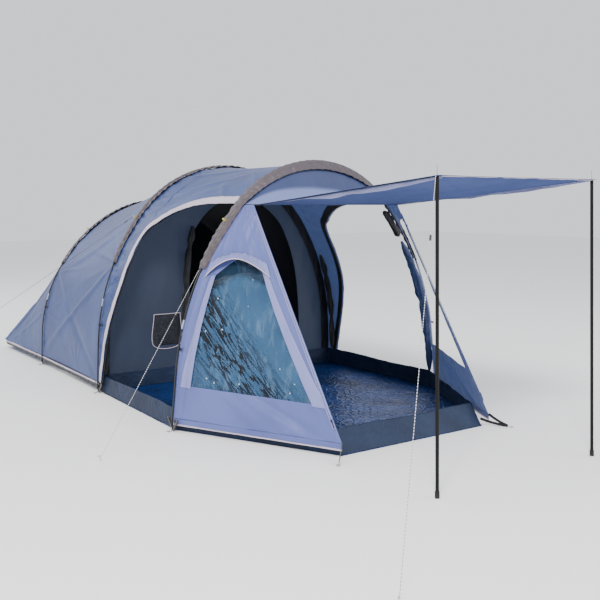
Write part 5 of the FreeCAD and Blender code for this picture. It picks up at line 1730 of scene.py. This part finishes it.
guyLines = {
    "diameter": 0.003,
    "near": 0.018,
    "lines": (
        # name, node, body, start, end, finish, pieces on it
        (
            "middleGuyLine", "middle_guy_line", "root", (-0.892443, 0.351700, 1.452919),
            (-2.5, 1.7397, 0.024), "darkCord", ("middle_guy_runner",),
        ),
        (
            "frontGuyLine", "front_guy_line", "root", (-1.021299, -1.060300, 1.096035),
            (-1.87, -1.4103, 0.024), "paleCord", ("front_guy_runner",),
        ),
        (
            "poleGuyLine", "pole_guy_line", "left_pole", (-0.661000, -3.040605, 1.740484),
            (-1.6, -3.8103, 0.024), "paleCord", ("pole_guy_runner",),
        ),
    ),
    "stub": {"turn": (0.55, -0.45, -0.70), "length": 0.096},
}


def straightCord(name, start, end, finish):
    start, end = Vector(start), Vector(end)
    along = (end - start).normalized()
    curve = bpy.data.curves.new(name, "CURVE")
    curve.dimensions = "3D"
    curve.bevel_depth = guyLines["diameter"] / 2
    curve.bevel_resolution = 4
    curve.use_fill_caps = True
    spline = curve.splines.new("NURBS")
    route = [start, start + along * guyLines["near"], end - along * guyLines["near"], end]
    spline.points.add(len(route) - 1)
    for point, place in zip(spline.points, route):
        point.co = (*place, 1.0)
    spline.order_u = 3
    spline.use_endpoint_u = True
    curve.materials.append(finish)
    cord = bpy.data.objects.new(name, curve)
    bpy.context.scene.collection.objects.link(cord)
    return cord


def makeGuyLines(finishes):
    for name, node, body, start, end, finish, onIt in guyLines["lines"]:
        start, end = Vector(start), Vector(end)
        along = (end - start).normalized()
        start, end = start + along * 0.003, end - along * 0.003
        cord = straightCord(name, start, end, finishes[finish])
        attach(cord, body, (node,))
    run = 2 * front["half"] - runAt(front, front["tab"], 0.0)
    base, out = archPoint(front, np.array([run]), 0.0094 + webbing["tabReach"] - 0.004)
    turn = Vector(guyLines["stub"]["turn"]).normalized()
    start = Vector(base[0]) + turn * 0.003
    end = start + turn * guyLines["stub"]["length"]
    cord = straightCord("tiedStub", start, end, finishes["redCord"])
    attach(cord, "root", ("tied_guy_line",))
    t = np.linspace(0, 2 * math.pi, 61)
    loops = np.stack(
        [np.sin(t) + 2 * np.sin(2 * t), np.cos(t) - 2 * np.cos(2 * t), -1.2 * np.sin(3 * t)], -1,
    )
    knot = tubeAlong(
        "stubKnot", np.array(end) + 0.0013 * loops, guyLines["diameter"] / 2, 10, finishes["redCord"],
    )
    attach(knot, "root")


# ---- finishes of the fixed pieces

fixedPieces = {
    "fibreglass": ("rear_arch_pole", "middle_arch_pole", "front_arch_pole"),
    "steel": (
        "pole_ferrules", "foot_pins", "peg_rings", "left_pole_spike", "right_pole_spike", "canopy_eyelets",
        "guy_pegs",
    ),
    "coatedSteel": ("left_canopy_pole", "right_canopy_pole"),
    "rubber": ("left_pole_foot", "right_pole_foot"),
    "nylon": (
        "pole_clips", "sleeve_hooks", "tie_toggles", "left_zip_slider", "right_zip_slider",
        "middle_guy_runner", "front_guy_runner", "pole_guy_runner",
    ),
}


def finishFixedPieces(finishes):
    for finish, names in fixedPieces.items():
        for name in names:
            for slot in nodes[name].material_slots:
                slot.material = finishes[finish]


finishes = makeMaterials()
makeCamera()
makeStudio()
makeGuyLines(finishes)
finishFixedPieces(finishes)
print("camera, studio, guy lines")
fly = [finishes["fly"], finishes["flyInside"]]
makeRearBay(fly)
makeTail(fly)
makeFrontBay(fly)
makeBindings([finishes["binding"]], [finishes["black"]])
makeSleeves([finishes["sleeve"]])
print("fly over the bays")
makeFrontPanels([finishes["flyPale"], finishes["flyInside"]], [finishes["flyDoubled"]])
makePane([finishes["film"]])
makeHood([finishes["flyDoubled"], finishes["flyInside"]], finishes["binding"])
makeBrow([finishes["brow"], finishes["flyInside"]])
makeCanopy(
    {
        "fly": [finishes["fly"], finishes["canopyShadedUnderside"]], "flap": [finishes["flap"]],
        "black": finishes["black"], "binding": [finishes["binding"]],
    }
)
makeHem(finishes)
print("porch and canopy")
makeInnerTent(
    {
        "inner": [finishes["inner"], finishes["innerDark"]], "black": [finishes["black"]],
        "net": [finishes["net"]], "binding": [finishes["binding"]],
    }
)
makeFloors({"tarpaulin": [finishes["tarpaulin"], finishes["tarpaulinShadedWall"]]})
makeRolls(finishes)
makeFootWebbing(finishes)
makeTabs(finishes)
makeCornerStraps(finishes)
makeZips(finishes)
print("inner tent, floors, rolls and webbing")
